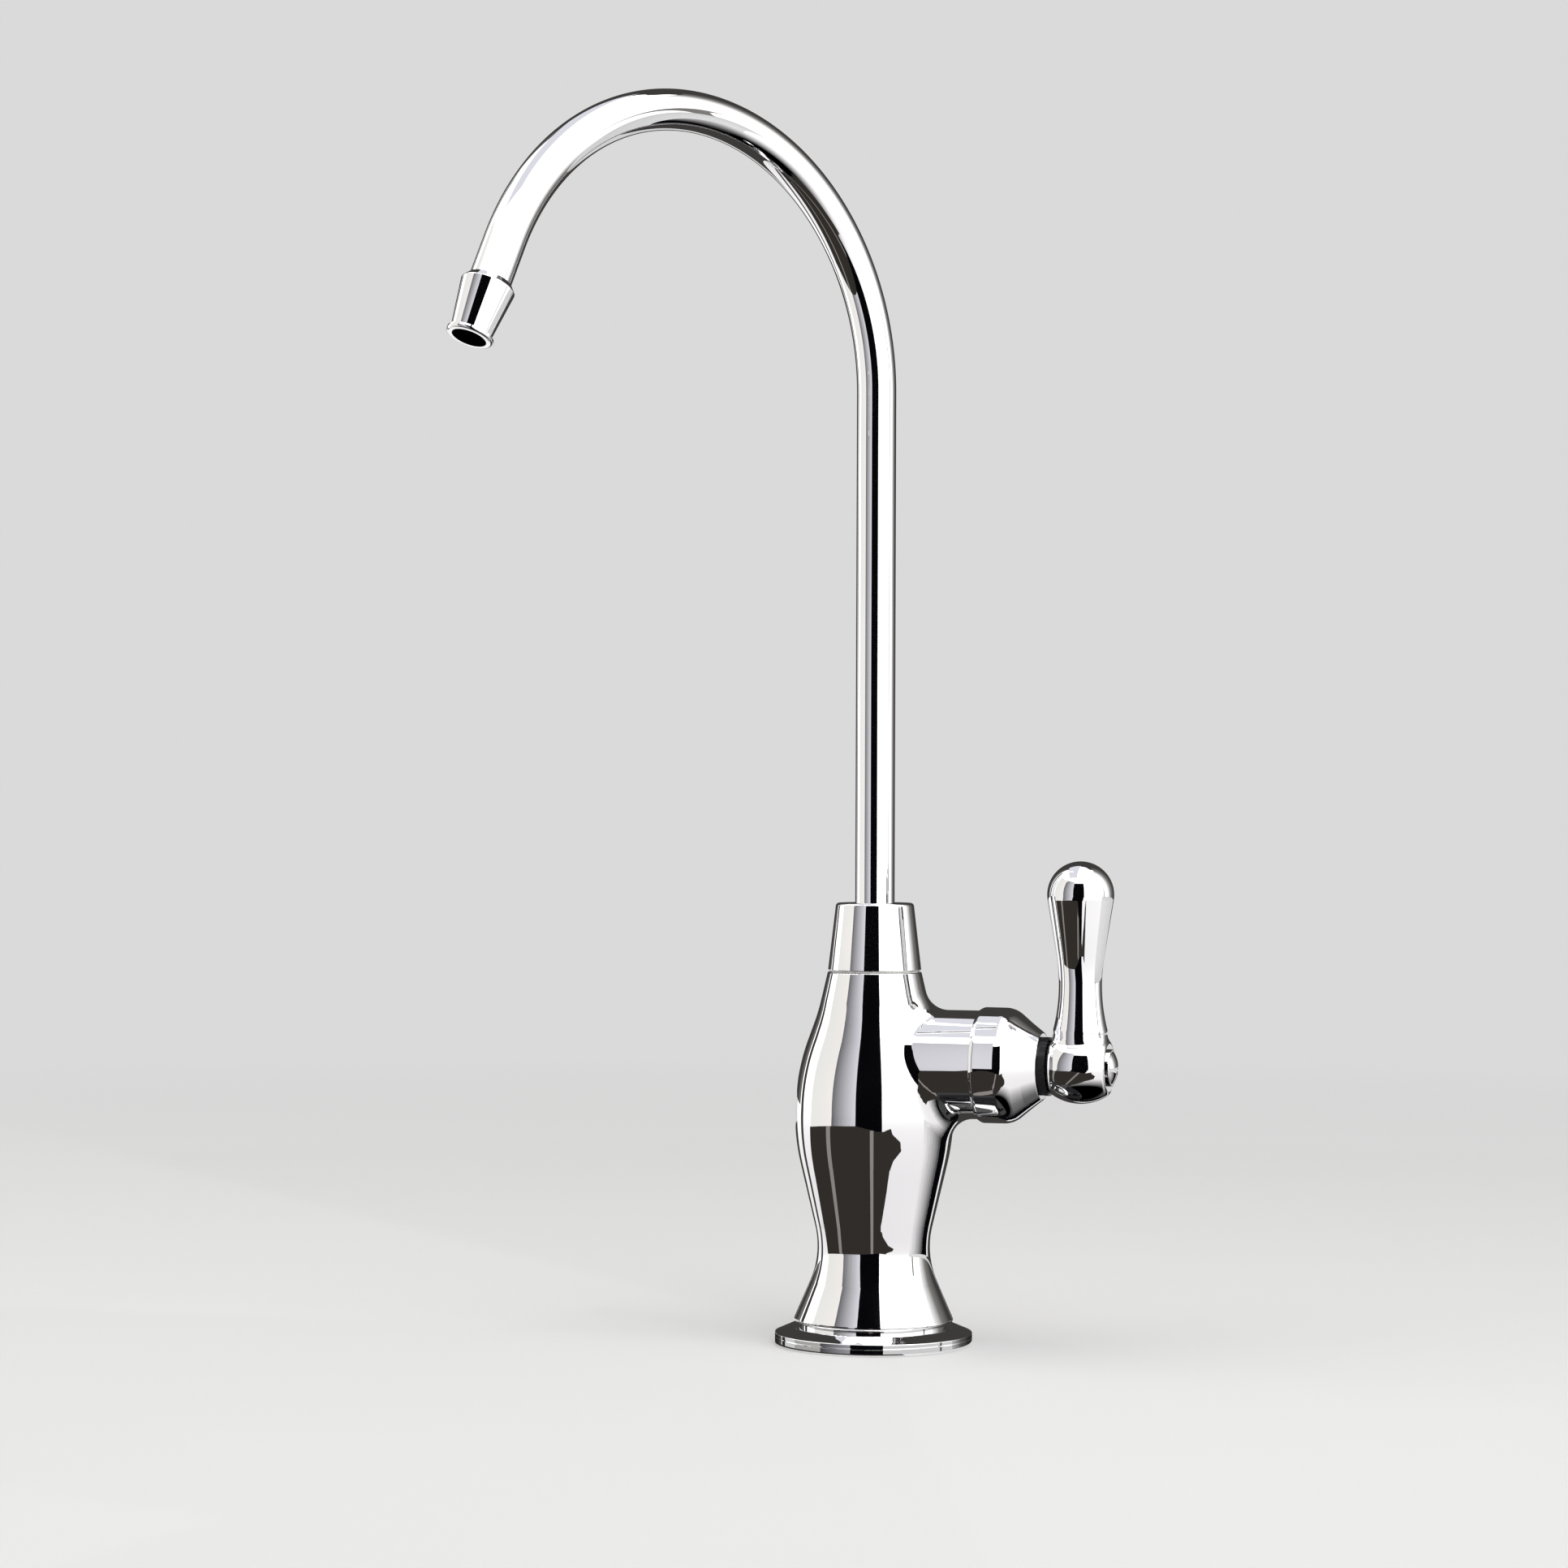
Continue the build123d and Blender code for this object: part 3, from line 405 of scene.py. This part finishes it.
def new_group(name, kind, inputs, outputs):
    """A node group with named inputs and outputs, and its two end nodes."""
    group = bpy.data.node_groups.new(name, kind)
    for label, socket, value in inputs:
        made = group.interface.new_socket(name=label, in_out="INPUT", socket_type=socket)
        if value is not None:
            made.default_value = value
    for label, socket in outputs:
        group.interface.new_socket(name=label, in_out="OUTPUT", socket_type=socket)
    given = group.nodes.new("NodeGroupInput").outputs
    result = group.nodes.new("NodeGroupOutput").inputs
    return group, given, result


def maths(tree, operation, first, second=0.0):
    """What a maths node makes of one or two values."""
    return add_node(tree, "ShaderNodeMath", ((0, first), (1, second)), operation=operation).outputs[0]


# Uneven patches drift a value between two limits over the surface.
uneven_patches, given, result = new_group(
    "Uneven patches", "ShaderNodeTree",
    (("Size", number, 0.01), ("Low", number, 0.0), ("High", number, 1.0)), (("Value", number),))
place = uneven_patches.nodes.new("ShaderNodeTexCoord").outputs["Object"]
scale = maths(uneven_patches, "DIVIDE", 1.0, given["Size"])
noise = add_node(uneven_patches, "ShaderNodeTexNoise", (
    ("Vector", place), ("Scale", scale), ("Detail", 3.0)))
spread = add_node(uneven_patches, "ShaderNodeMapRange", (
    ("Value", noise.outputs["Fac"]), ("From Min", 0.33), ("From Max", 0.67),
    ("To Min", given["Low"]), ("To Max", given["High"])))
uneven_patches.links.new(spread.outputs["Result"], result["Value"])

# Mottled colour drifts between two shades over the surface.
mottled_colour, given, result = new_group(
    "Mottled colour", "ShaderNodeTree",
    (("Size", number, 0.01), ("First", "NodeSocketColor", None), ("Second", "NodeSocketColor", None)),
    (("Color", "NodeSocketColor"),))
place = mottled_colour.nodes.new("ShaderNodeTexCoord").outputs["Object"]
scale = maths(mottled_colour, "DIVIDE", 1.0, given["Size"])
noise = add_node(mottled_colour, "ShaderNodeTexNoise", (
    ("Vector", place), ("Scale", scale), ("Detail", 4.0)))
share = add_node(mottled_colour, "ShaderNodeMapRange", (
    ("Value", noise.outputs["Fac"]), ("From Min", 0.35), ("From Max", 0.65)))
blend = add_node(mottled_colour, "ShaderNodeMix", (
    (0, share.outputs["Result"]), (6, given["First"]), (7, given["Second"])), data_type="RGBA")
mottled_colour.links.new(blend.outputs[2], result["Color"])

# Fine grain is the small roughness of a moulded or plated skin.
fine_grain, given, result = new_group(
    "Fine grain", "ShaderNodeTree", (("Size", number, 0.001),), (("Height", number),))
place = fine_grain.nodes.new("ShaderNodeTexCoord").outputs["Object"]
scale = maths(fine_grain, "DIVIDE", 1.0, given["Size"])
noise = add_node(fine_grain, "ShaderNodeTexNoise", (
    ("Vector", place), ("Scale", scale), ("Detail", 2.0)))
fine_grain.links.new(noise.outputs["Fac"], result["Height"])


def finish(name, shades, shade_size, roughness, patch_size, metallic, specular=0.5):
    """A material whose colour and roughness drift over the surface between two values each."""
    material = bpy.data.materials.new(name)
    material.use_nodes = True
    tree = material.node_tree
    shader = tree.nodes["Principled BSDF"]
    shader.inputs["Metallic"].default_value = metallic
    shader.inputs["Specular IOR Level"].default_value = specular
    colour = add_node(tree, "ShaderNodeGroup", node_tree=mottled_colour)
    colour.inputs["Size"].default_value = shade_size
    colour.inputs["First"].default_value = (*shades[0], 1.0)
    colour.inputs["Second"].default_value = (*shades[1], 1.0)
    tree.links.new(colour.outputs["Color"], shader.inputs["Base Color"])
    patches = add_node(tree, "ShaderNodeGroup", node_tree=uneven_patches)
    patches.inputs["Size"].default_value = patch_size
    patches.inputs["Low"].default_value = roughness[0]
    patches.inputs["High"].default_value = roughness[1]
    tree.links.new(patches.outputs["Value"], shader.inputs["Roughness"])
    return material


def add_relief(material, effect, values, depth):
    """Adds a shared height effect to a material's normal, on top of any that it has."""
    tree = material.node_tree
    normal = tree.nodes["Principled BSDF"].inputs["Normal"]
    height = add_node(tree, "ShaderNodeGroup", node_tree=effect)
    for label, value in values:
        height.inputs[label].default_value = value
    bump = add_node(tree, "ShaderNodeBump", (
        ("Height", height.outputs["Height"]), ("Distance", depth)))
    if normal.is_linked:
        tree.links.new(normal.links[0].from_socket, bump.inputs["Normal"])
    tree.links.new(bump.outputs["Normal"], normal)


def moulded_rubber(name):
    """Black rubber with a dull, finely grained skin."""
    rubber = finish(name, rubber_shades, shade_size=0.004, roughness=(0.55, 0.75),
                    patch_size=0.003, metallic=0.0)
    add_relief(rubber, fine_grain, (("Size", 0.0003),), depth=0.00002)
    return rubber


def dress(node, material):
    """Gives a solid of the frame its finish."""
    nodes[node].material_slots[0].material = material


dress("base_gasket", moulded_rubber("Gasket rubber"))


# The base flange is a turned brass disc with a groove round its rim, polished and chrome plated.
# The shank's threads pull it down on the deck.
chrome_shades = ((0.885, 0.885, 0.895), (0.925, 0.925, 0.930))
up = (0.0, 0.0, 1.0)
tap_axis = (0.0, 0.0, 0.0)

# Turning marks are fine uneven grooves round an axis.
turning_marks, given, result = new_group(
    "Turning marks", "ShaderNodeTree",
    (("Axis", "NodeSocketVector", None), ("Centre", "NodeSocketVector", None),
     ("Spacing", number, 0.0003)),
    (("Height", number),))
place = turning_marks.nodes.new("ShaderNodeTexCoord").outputs["Object"]
arm = add_node(turning_marks, "ShaderNodeVectorMath", (
    (0, place), (1, given["Centre"])), operation="SUBTRACT").outputs[0]
along = add_node(turning_marks, "ShaderNodeVectorMath", (
    (0, arm), (1, given["Axis"])), operation="DOT_PRODUCT").outputs["Value"]
across = add_node(turning_marks, "ShaderNodeVectorMath", (
    (0, arm), (1, given["Axis"])), operation="CROSS_PRODUCT").outputs[0]
radius = add_node(turning_marks, "ShaderNodeVectorMath", (
    (0, across),), operation="LENGTH").outputs["Value"]
travel = maths(turning_marks, "DIVIDE", maths(turning_marks, "ADD", along, radius), given["Spacing"])
grooves = add_node(turning_marks, "ShaderNodeTexNoise", (
    ("W", travel), ("Scale", 1.0), ("Detail", 2.0)), noise_dimensions="1D")
turning_marks.links.new(grooves.outputs["Fac"], result["Height"])


def chrome_plate(name, ripple_size, ripple_depth):
    """Bright chrome, with the faint ripple that polishing leaves and a trace of haze."""
    plate = finish(name, chrome_shades, shade_size=0.03, roughness=(0.012, 0.035),
                   patch_size=0.02, metallic=1.0)
    add_relief(plate, fine_grain, (("Size", ripple_size),), ripple_depth)
    return plate


def add_turning(material, spacing, depth, axis=up, centre=tap_axis):
    """Marks a material as turned round an axis through a centre."""
    add_relief(material, turning_marks, (
        ("Axis", axis), ("Centre", centre), ("Spacing", spacing)), depth)
    return material


flange_chrome = chrome_plate("Chrome on the flange", ripple_size=0.006, ripple_depth=0.000004)
dress("base_flange", add_turning(flange_chrome, spacing=0.0009, depth=0.0000006))


# The valve body is one turned and drilled brass casting with its side boss blended in, polished
# by hand where the boss meets the belly, and chrome plated.
dress("valve_body", chrome_plate("Chrome on the body", ripple_size=0.012, ripple_depth=0.000010))


# The shank is a length of brass all-thread tube, 7/16 inch with 24 threads an inch, right-handed.
# It screws up into the body, and its foot is bored and coned for the inlet tube and ferrule.
brass_shades = ((0.76, 0.55, 0.25), (0.66, 0.46, 0.20))
shank_r = 0.00555
shank_foot = -0.048
shank_top = 0.0204
shank_bore_r = 0.0026
shank_edge = 0.0003
shank_steps = 64
crease_angle = radians(32)
inlet_socket_r = 0.00325
inlet_socket_top = -0.038
inlet_cone_r = 0.0042
inlet_cone_top = -0.0465
thread_pitch = 0.0254 / 24
thread_depth = 0.00065
thread_margin = 0.0006
thread_sink_share = 0.1
ridge_foot_share = 0.94
ridge_crest_share = 0.14
thinnest_share = 0.02
steps_a_turn = 48
core_r = shank_r - thread_depth


def turned_brass(name, spacing, depth, axis=up, centre=tap_axis):
    """Brass straight from the lathe, a little dulled by handling."""
    brass = finish(name, brass_shades, shade_size=0.006, roughness=(0.20, 0.36),
                   patch_size=0.004, metallic=1.0)
    return add_turning(brass, spacing, depth, axis, centre)


def shape_by_nodes(piece, group, values):
    """Runs a geometry tree on a piece with named inputs, and keeps the result as its plain mesh."""
    modifier = piece.modifiers.new("Shape", "NODES")
    modifier.node_group = group
    for item in group.interface.items_tree:
        if item.in_out == "INPUT" and item.name in values:
            modifier[item.identifier] = values[item.name]
    graph = bpy.context.evaluated_depsgraph_get()
    mesh = bpy.data.meshes.new_from_object(piece.evaluated_get(graph), depsgraph=graph)
    piece.modifiers.remove(modifier)
    piece.data = mesh
    mesh.set_sharp_from_angle(angle=crease_angle)


def coat(tree, geometry, material, result):
    """Ends a geometry tree: smooth shading, real instances and the piece's material."""
    smooth = add_node(tree, "GeometryNodeSetShadeSmooth", (
        ("Geometry", geometry), ("Shade Smooth", True)))
    real = add_node(tree, "GeometryNodeRealizeInstances", (("Geometry", smooth.outputs[0]),))
    coated = add_node(tree, "GeometryNodeSetMaterial", (
        ("Geometry", real.outputs[0]), ("Material", material)))
    tree.links.new(coated.outputs[0], result)


# The thread is one ridge of trapezium section along a helix, thinned to nothing at both ends.
helical_thread, given, result = new_group(
    "Helical thread", "GeometryNodeTree",
    (("Geometry", "NodeSocketGeometry", None), ("Core radius", number, 0.005),
     ("Depth", number, 0.0006), ("Pitch", number, 0.001), ("Foot", number, 0.0),
     ("Top", number, 0.05), ("Finish", "NodeSocketMaterial", None)),
    (("Geometry", "NodeSocketGeometry"),))
tree = helical_thread
length = maths(tree, "SUBTRACT", given["Top"], given["Foot"])
turns = maths(tree, "DIVIDE", length, given["Pitch"])
sink = maths(tree, "MULTIPLY", given["Depth"], thread_sink_share)
start_r = maths(tree, "SUBTRACT", given["Core radius"], sink)
helix = add_node(tree, "GeometryNodeCurveSpiral", (
    ("Resolution", steps_a_turn), ("Rotations", turns), ("Start Radius", start_r),
    ("End Radius", start_r), ("Height", length), ("Reverse", True)))
lift = add_node(tree, "ShaderNodeCombineXYZ", (("Z", given["Foot"]),))
raised = add_node(tree, "GeometryNodeTransform", (
    ("Geometry", helix.outputs[0]), ("Translation", lift.outputs[0])))
level = add_node(tree, "GeometryNodeSetCurveNormal", (("Curve", raised.outputs[0]),), mode="Z_UP")
factor = tree.nodes.new("GeometryNodeSplineParameter").outputs["Factor"]
from_foot = maths(tree, "MULTIPLY", factor, turns)
from_top = maths(tree, "MULTIPLY", maths(tree, "SUBTRACT", 1.0, factor), turns)
nearest = maths(tree, "MINIMUM", from_foot, from_top)
run_out = maths(tree, "MAXIMUM", maths(tree, "MINIMUM", nearest, 1.0), thinnest_share)
fading = add_node(tree, "GeometryNodeSetCurveRadius", (
    ("Curve", level.outputs[0]), ("Radius", run_out)))
ridge_height = maths(tree, "ADD", given["Depth"], sink)
ridge = add_node(tree, "GeometryNodeCurvePrimitiveQuadrilateral", (
    ("Height", ridge_height), ("Offset", 0.0),
    ("Bottom Width", maths(tree, "MULTIPLY", given["Pitch"], ridge_foot_share)),
    ("Top Width", maths(tree, "MULTIPLY", given["Pitch"], ridge_crest_share))), mode="TRAPEZOID")
half_out = add_node(tree, "ShaderNodeCombineXYZ", (("X", maths(tree, "MULTIPLY", ridge_height, 0.5)),))
ridge_placed = add_node(tree, "GeometryNodeTransform", (
    ("Geometry", ridge.outputs[0]), ("Rotation", (0.0, 0.0, -pi / 2)),
    ("Translation", half_out.outputs[0])))
swept = add_node(tree, "GeometryNodeCurveToMesh", (
    ("Curve", fading.outputs[0]), ("Profile Curve", ridge_placed.outputs[0]), ("Fill Caps", True)))
joined = tree.nodes.new("GeometryNodeJoinGeometry")
tree.links.new(swept.outputs[0], joined.inputs[0])
tree.links.new(given["Geometry"], joined.inputs[0])
coat(tree, joined.outputs[0], given["Finish"], result["Geometry"])

shank_outline = [
    (inlet_cone_r, shank_foot),
    (core_r - shank_edge, shank_foot),
    (core_r, shank_foot + shank_edge),
    (core_r, shank_top - shank_edge),
    (core_r - shank_edge, shank_top),
    (shank_bore_r, shank_top),
    (shank_bore_r, inlet_socket_top),
    (inlet_socket_r, inlet_socket_top),
    (inlet_socket_r, inlet_cone_top),
]
shank = turned_mesh("shank_with_thread", shank_outline, shank_steps, closed=True)
shape_by_nodes(shank, helical_thread, {
    "Core radius": core_r,
    "Depth": thread_depth,
    "Pitch": thread_pitch,
    "Foot": shank_foot + thread_margin,
    "Top": shank_top - thread_margin,
    "Finish": turned_brass("Shank brass", spacing=0.00025, depth=0.000003),
})
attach(shank, "tap_body")
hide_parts("threaded_shank")


# The shank's seal is a small washer of moulded rubber. It lies at the top of the threaded socket
# in the body, and the shank's end presses on it.
dress("shank_seal", moulded_rubber("Shank seal rubber"))


# Under the deck, a rubber washer, a steel washer and a spring washer slide on the shank. The two
# steel ones are pressed from stainless sheet and tumbled.
steel_shades = ((0.60, 0.60, 0.61), (0.50, 0.50, 0.50))


def pressed_steel(name, spacing, depth, axis=up, centre=tap_axis):
    """Stainless sheet with the fine rings and soft dulling that pressing and tumbling leave."""
    steel = finish(name, steel_shades, shade_size=0.005, roughness=(0.24, 0.40),
                   patch_size=0.003, metallic=1.0)
    return add_turning(steel, spacing, depth, axis, centre)


dress("deck_rubber_washer", moulded_rubber("Deck washer rubber"))
dress("deck_steel_washer", pressed_steel("Deck washer steel", spacing=0.0004, depth=0.000004))
dress("spring_washer", pressed_steel("Spring washer steel", spacing=0.0002, depth=0.000003))


# The mounting nut is cut from hexagon brass bar, faced and bevelled at both ends. It clamps the
# washers against the deck's underside.
dress("mounting_nut", turned_brass("Mounting nut brass", spacing=0.0003, depth=0.000005))


# The inlet is a compression joint: a turned brass nut squeezes a soft brass ferrule into the
# shank's cone, and a small rubber seal lies behind it.
dress("inlet_nut", turned_brass("Inlet nut brass", spacing=0.0003, depth=0.000005))
dress("inlet_ferrule", turned_brass("Ferrule brass", spacing=0.00018, depth=0.000003))
dress("inlet_seal", moulded_rubber("Inlet seal rubber"))


# The valve seals with two lapped discs of alumina: the fixed one is keyed in the cartridge, and
# the moving one turns with the stem.
ceramic_shades = ((0.86, 0.85, 0.81), (0.80, 0.79, 0.74))


def lapped_ceramic(name):
    """Off-white alumina, smooth and a little glossy from lapping."""
    ceramic = finish(name, ceramic_shades, shade_size=0.002, roughness=(0.10, 0.22),
                     patch_size=0.0015, metallic=0.0)
    add_relief(ceramic, fine_grain, (("Size", 0.00008),), depth=0.000002)
    return ceramic


dress("fixed_disc", lapped_ceramic("Fixed disc ceramic"))
dress("moving_disc", lapped_ceramic("Moving disc ceramic"))


# The cartridge is a turned brass shell with its stem, which ends in serrations for the lever. Two
# rings on the stem and one round the shell are rubber, a nylon washer takes the thrust, and a
# steel clip holds the stem in.
lever_axis = (1.0, 0.0, 0.0)
lever_centre = (0.0, 0.0, 0.0712)
white_nylon = ((0.86, 0.85, 0.80), (0.80, 0.79, 0.73))


def moulded_nylon(name, shades, roughness, specular=0.5):
    """Nylon with the faint grain of its mould."""
    nylon = finish(name, shades, shade_size=0.004, roughness=roughness,
                   patch_size=0.002, metallic=0.0, specular=specular)
    add_relief(nylon, fine_grain, (("Size", 0.0004),), depth=0.00001)
    return nylon


dress("cartridge_body", turned_brass(
    "Cartridge brass", spacing=0.0003, depth=0.000004, axis=lever_axis, centre=lever_centre))
dress("cartridge_stem", turned_brass(
    "Stem brass", spacing=0.0002, depth=0.000003, axis=lever_axis, centre=lever_centre))
dress("cartridge_o_ring", moulded_rubber("Cartridge ring rubber"))
dress("stem_o_rings", moulded_rubber("Stem ring rubber"))
dress("stem_clip", pressed_steel(
    "Stem clip steel", spacing=0.0002, depth=0.000003, axis=lever_axis, centre=lever_centre))
dress("thrust_washer", moulded_nylon("Thrust washer nylon", white_nylon, roughness=(0.38, 0.52)))


# The bonnet is a turned brass cap, chrome plated. It screws on the boss's thread over the
# cartridge, and its nose narrows towards the lever.
bonnet_chrome = chrome_plate("Chrome on the bonnet", ripple_size=0.008, ripple_depth=0.000006)
dress("bonnet", add_turning(
    bonnet_chrome, spacing=0.0009, depth=0.0000005, axis=lever_axis, centre=lever_centre))


# The bush is a ring of moulded black nylon with a slight gloss. It is pushed into the bonnet's
# nose and fills the gap to the lever.
black_nylon = ((0.010, 0.010, 0.012), (0.018, 0.018, 0.019))
dress("stem_bush", moulded_nylon("Bush nylon", black_nylon, roughness=(0.12, 0.20), specular=0.18))


# The lever is one brass casting, a barrel hub with a grip that swells into a knob. It is polished
# by hand, so its plating has a longer ripple than the turned pieces, and a screw holds it.
dress("lever_handle", chrome_plate("Chrome on the lever", ripple_size=0.014, ripple_depth=0.000014))
dress("handle_screw", pressed_steel(
    "Screw steel", spacing=0.0002, depth=0.000003, axis=lever_axis, centre=lever_centre))


# The index ring and its domed button close the hub's outer end over the screw. Both are small
# plated pressings, pushed in.
ring_chrome = chrome_plate("Chrome on the index ring", ripple_size=0.003, ripple_depth=0.000002)
dress("index_ring", add_turning(
    ring_chrome, spacing=0.0006, depth=0.0000005, axis=lever_axis, centre=lever_centre))
dress("index_button", chrome_plate(
    "Chrome on the index button", ripple_size=0.004, ripple_depth=0.000003))


# The spout turns on a brass spigot with two rubber rings and a steel circlip, over a thin white
# nylon washer on top of the body.
dress("swivel_washer", moulded_nylon("Swivel washer nylon", white_nylon, roughness=(0.34, 0.48)))
dress("spout_spigot", turned_brass("Spigot brass", spacing=0.0003, depth=0.000004))
dress("spout_o_rings", moulded_rubber("Spout ring rubber"))
dress("spout_circlip", pressed_steel("Circlip steel", spacing=0.0002, depth=0.000003))


# The collar is a tapered cover of turned brass, chrome plated. It is pushed over the spigot's
# sleeve and hides the joint between the spout and the body.
collar_chrome = chrome_plate("Chrome on the collar", ripple_size=0.010, ripple_depth=0.000005)
dress("spout_collar", add_turning(collar_chrome, spacing=0.0009, depth=0.0000005))


# The spout is drawn brass tube, 10 mm across, bent round a former into one arch over the sink.
# It is polished and plated after bending, and its foot is brazed into the spigot's sleeve.
tube_r = 0.005
tube_wall = 0.0012
tube_foot = 0.0982
arch_start = 0.2411
arch_r = 0.0634
arch_sweep = radians(156.0)
tube_tail = 0.0174
spout_turn = radians(-119.5)
path_points = 321
section_points = 72
weld_distance = 0.000005

bent_tube, given, result = new_group(
    "Bent tube", "GeometryNodeTree",
    (("Geometry", "NodeSocketGeometry", None), ("Foot", number, 0.0), ("Rise", number, 0.1),
     ("Arch radius", number, 0.05), ("Sweep", number, 3.0), ("Tail", number, 0.01),
     ("Turn", number, 0.0), ("Radius", number, 0.005), ("Wall", number, 0.001),
     ("Finish", "NodeSocketMaterial", None)),
    (("Geometry", "NodeSocketGeometry"),))
tree = bent_tube
bend = maths(tree, "MULTIPLY", given["Arch radius"], given["Sweep"])
bend_end = maths(tree, "ADD", given["Rise"], bend)
whole = maths(tree, "ADD", bend_end, given["Tail"])
line = add_node(tree, "GeometryNodeCurvePrimitiveLine", (("End", (0.0, 0.0, 1.0)),), mode="POINTS")
stepped = add_node(tree, "GeometryNodeResampleCurve", (
    ("Curve", line.outputs[0]), ("Count", path_points)), mode="COUNT")
factor = tree.nodes.new("GeometryNodeSplineParameter").outputs["Factor"]
travel = maths(tree, "MULTIPLY", factor, whole)
climb = maths(tree, "MINIMUM", travel, given["Rise"])
past_rise = maths(tree, "MAXIMUM", maths(tree, "SUBTRACT", travel, given["Rise"]), 0.0)
round_bend = maths(tree, "MINIMUM", past_rise, bend)
angle = maths(tree, "DIVIDE", round_bend, given["Arch radius"])
past_bend = maths(tree, "MAXIMUM", maths(tree, "SUBTRACT", travel, bend_end), 0.0)
sine = maths(tree, "SINE", angle)
cosine = maths(tree, "COSINE", angle)
out_arc = maths(tree, "MULTIPLY", given["Arch radius"], maths(tree, "SUBTRACT", 1.0, cosine))
out = maths(tree, "ADD", out_arc, maths(tree, "MULTIPLY", past_bend, sine))
high_arc = maths(tree, "ADD", climb, maths(tree, "MULTIPLY", given["Arch radius"], sine))
high_tail = maths(tree, "ADD", high_arc, maths(tree, "MULTIPLY", past_bend, cosine))
high = maths(tree, "ADD", high_tail, given["Foot"])
spot = add_node(tree, "ShaderNodeCombineXYZ", (
    ("X", maths(tree, "MULTIPLY", out, maths(tree, "COSINE", given["Turn"]))),
    ("Y", maths(tree, "MULTIPLY", out, maths(tree, "SINE", given["Turn"]))), ("Z", high)))
path = add_node(tree, "GeometryNodeSetPosition", (
    ("Geometry", stepped.outputs[0]), ("Position", spot.outputs[0])))
ring = add_node(tree, "GeometryNodeCurvePrimitiveCircle", (
    ("Resolution", section_points), ("Radius", given["Radius"])), mode="RADIUS")
skin = add_node(tree, "GeometryNodeCurveToMesh", (
    ("Curve", path.outputs[0]), ("Profile Curve", ring.outputs[0])))
inward = maths(tree, "MULTIPLY", given["Wall"], -1.0)
bore = add_node(tree, "GeometryNodeExtrudeMesh", (
    ("Mesh", skin.outputs[0]), ("Offset Scale", inward), ("Individual", False)), mode="FACES")
turned_in = add_node(tree, "GeometryNodeFlipFaces", (("Mesh", bore.outputs[0]),))
joined = tree.nodes.new("GeometryNodeJoinGeometry")
tree.links.new(turned_in.outputs[0], joined.inputs[0])
tree.links.new(skin.outputs[0], joined.inputs[0])
merged = add_node(tree, "GeometryNodeMergeByDistance", (
    ("Geometry", joined.outputs[0]), ("Distance", weld_distance)))
coat(tree, merged.outputs[0], given["Finish"], result["Geometry"])

tube = mesh_object("spout_tube_bent", bmesh.new())
shape_by_nodes(tube, bent_tube, {
    "Foot": tube_foot,
    "Rise": arch_start - tube_foot,
    "Arch radius": arch_r,
    "Sweep": arch_sweep,
    "Tail": tube_tail,
    "Turn": spout_turn,
    "Radius": tube_r,
    "Wall": tube_wall,
    "Finish": chrome_plate("Chrome on the tube", ripple_size=0.016, ripple_depth=0.000004),
})
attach(tube, "spout")
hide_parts("spout_tube")


# The nozzle is a turned brass outlet with a rolled lip. It is brazed on the tube's end, then
# polished and chrome plated with it.
dress("spout_nozzle", chrome_plate("Chrome on the nozzle", ripple_size=0.006, ripple_depth=0.000004))
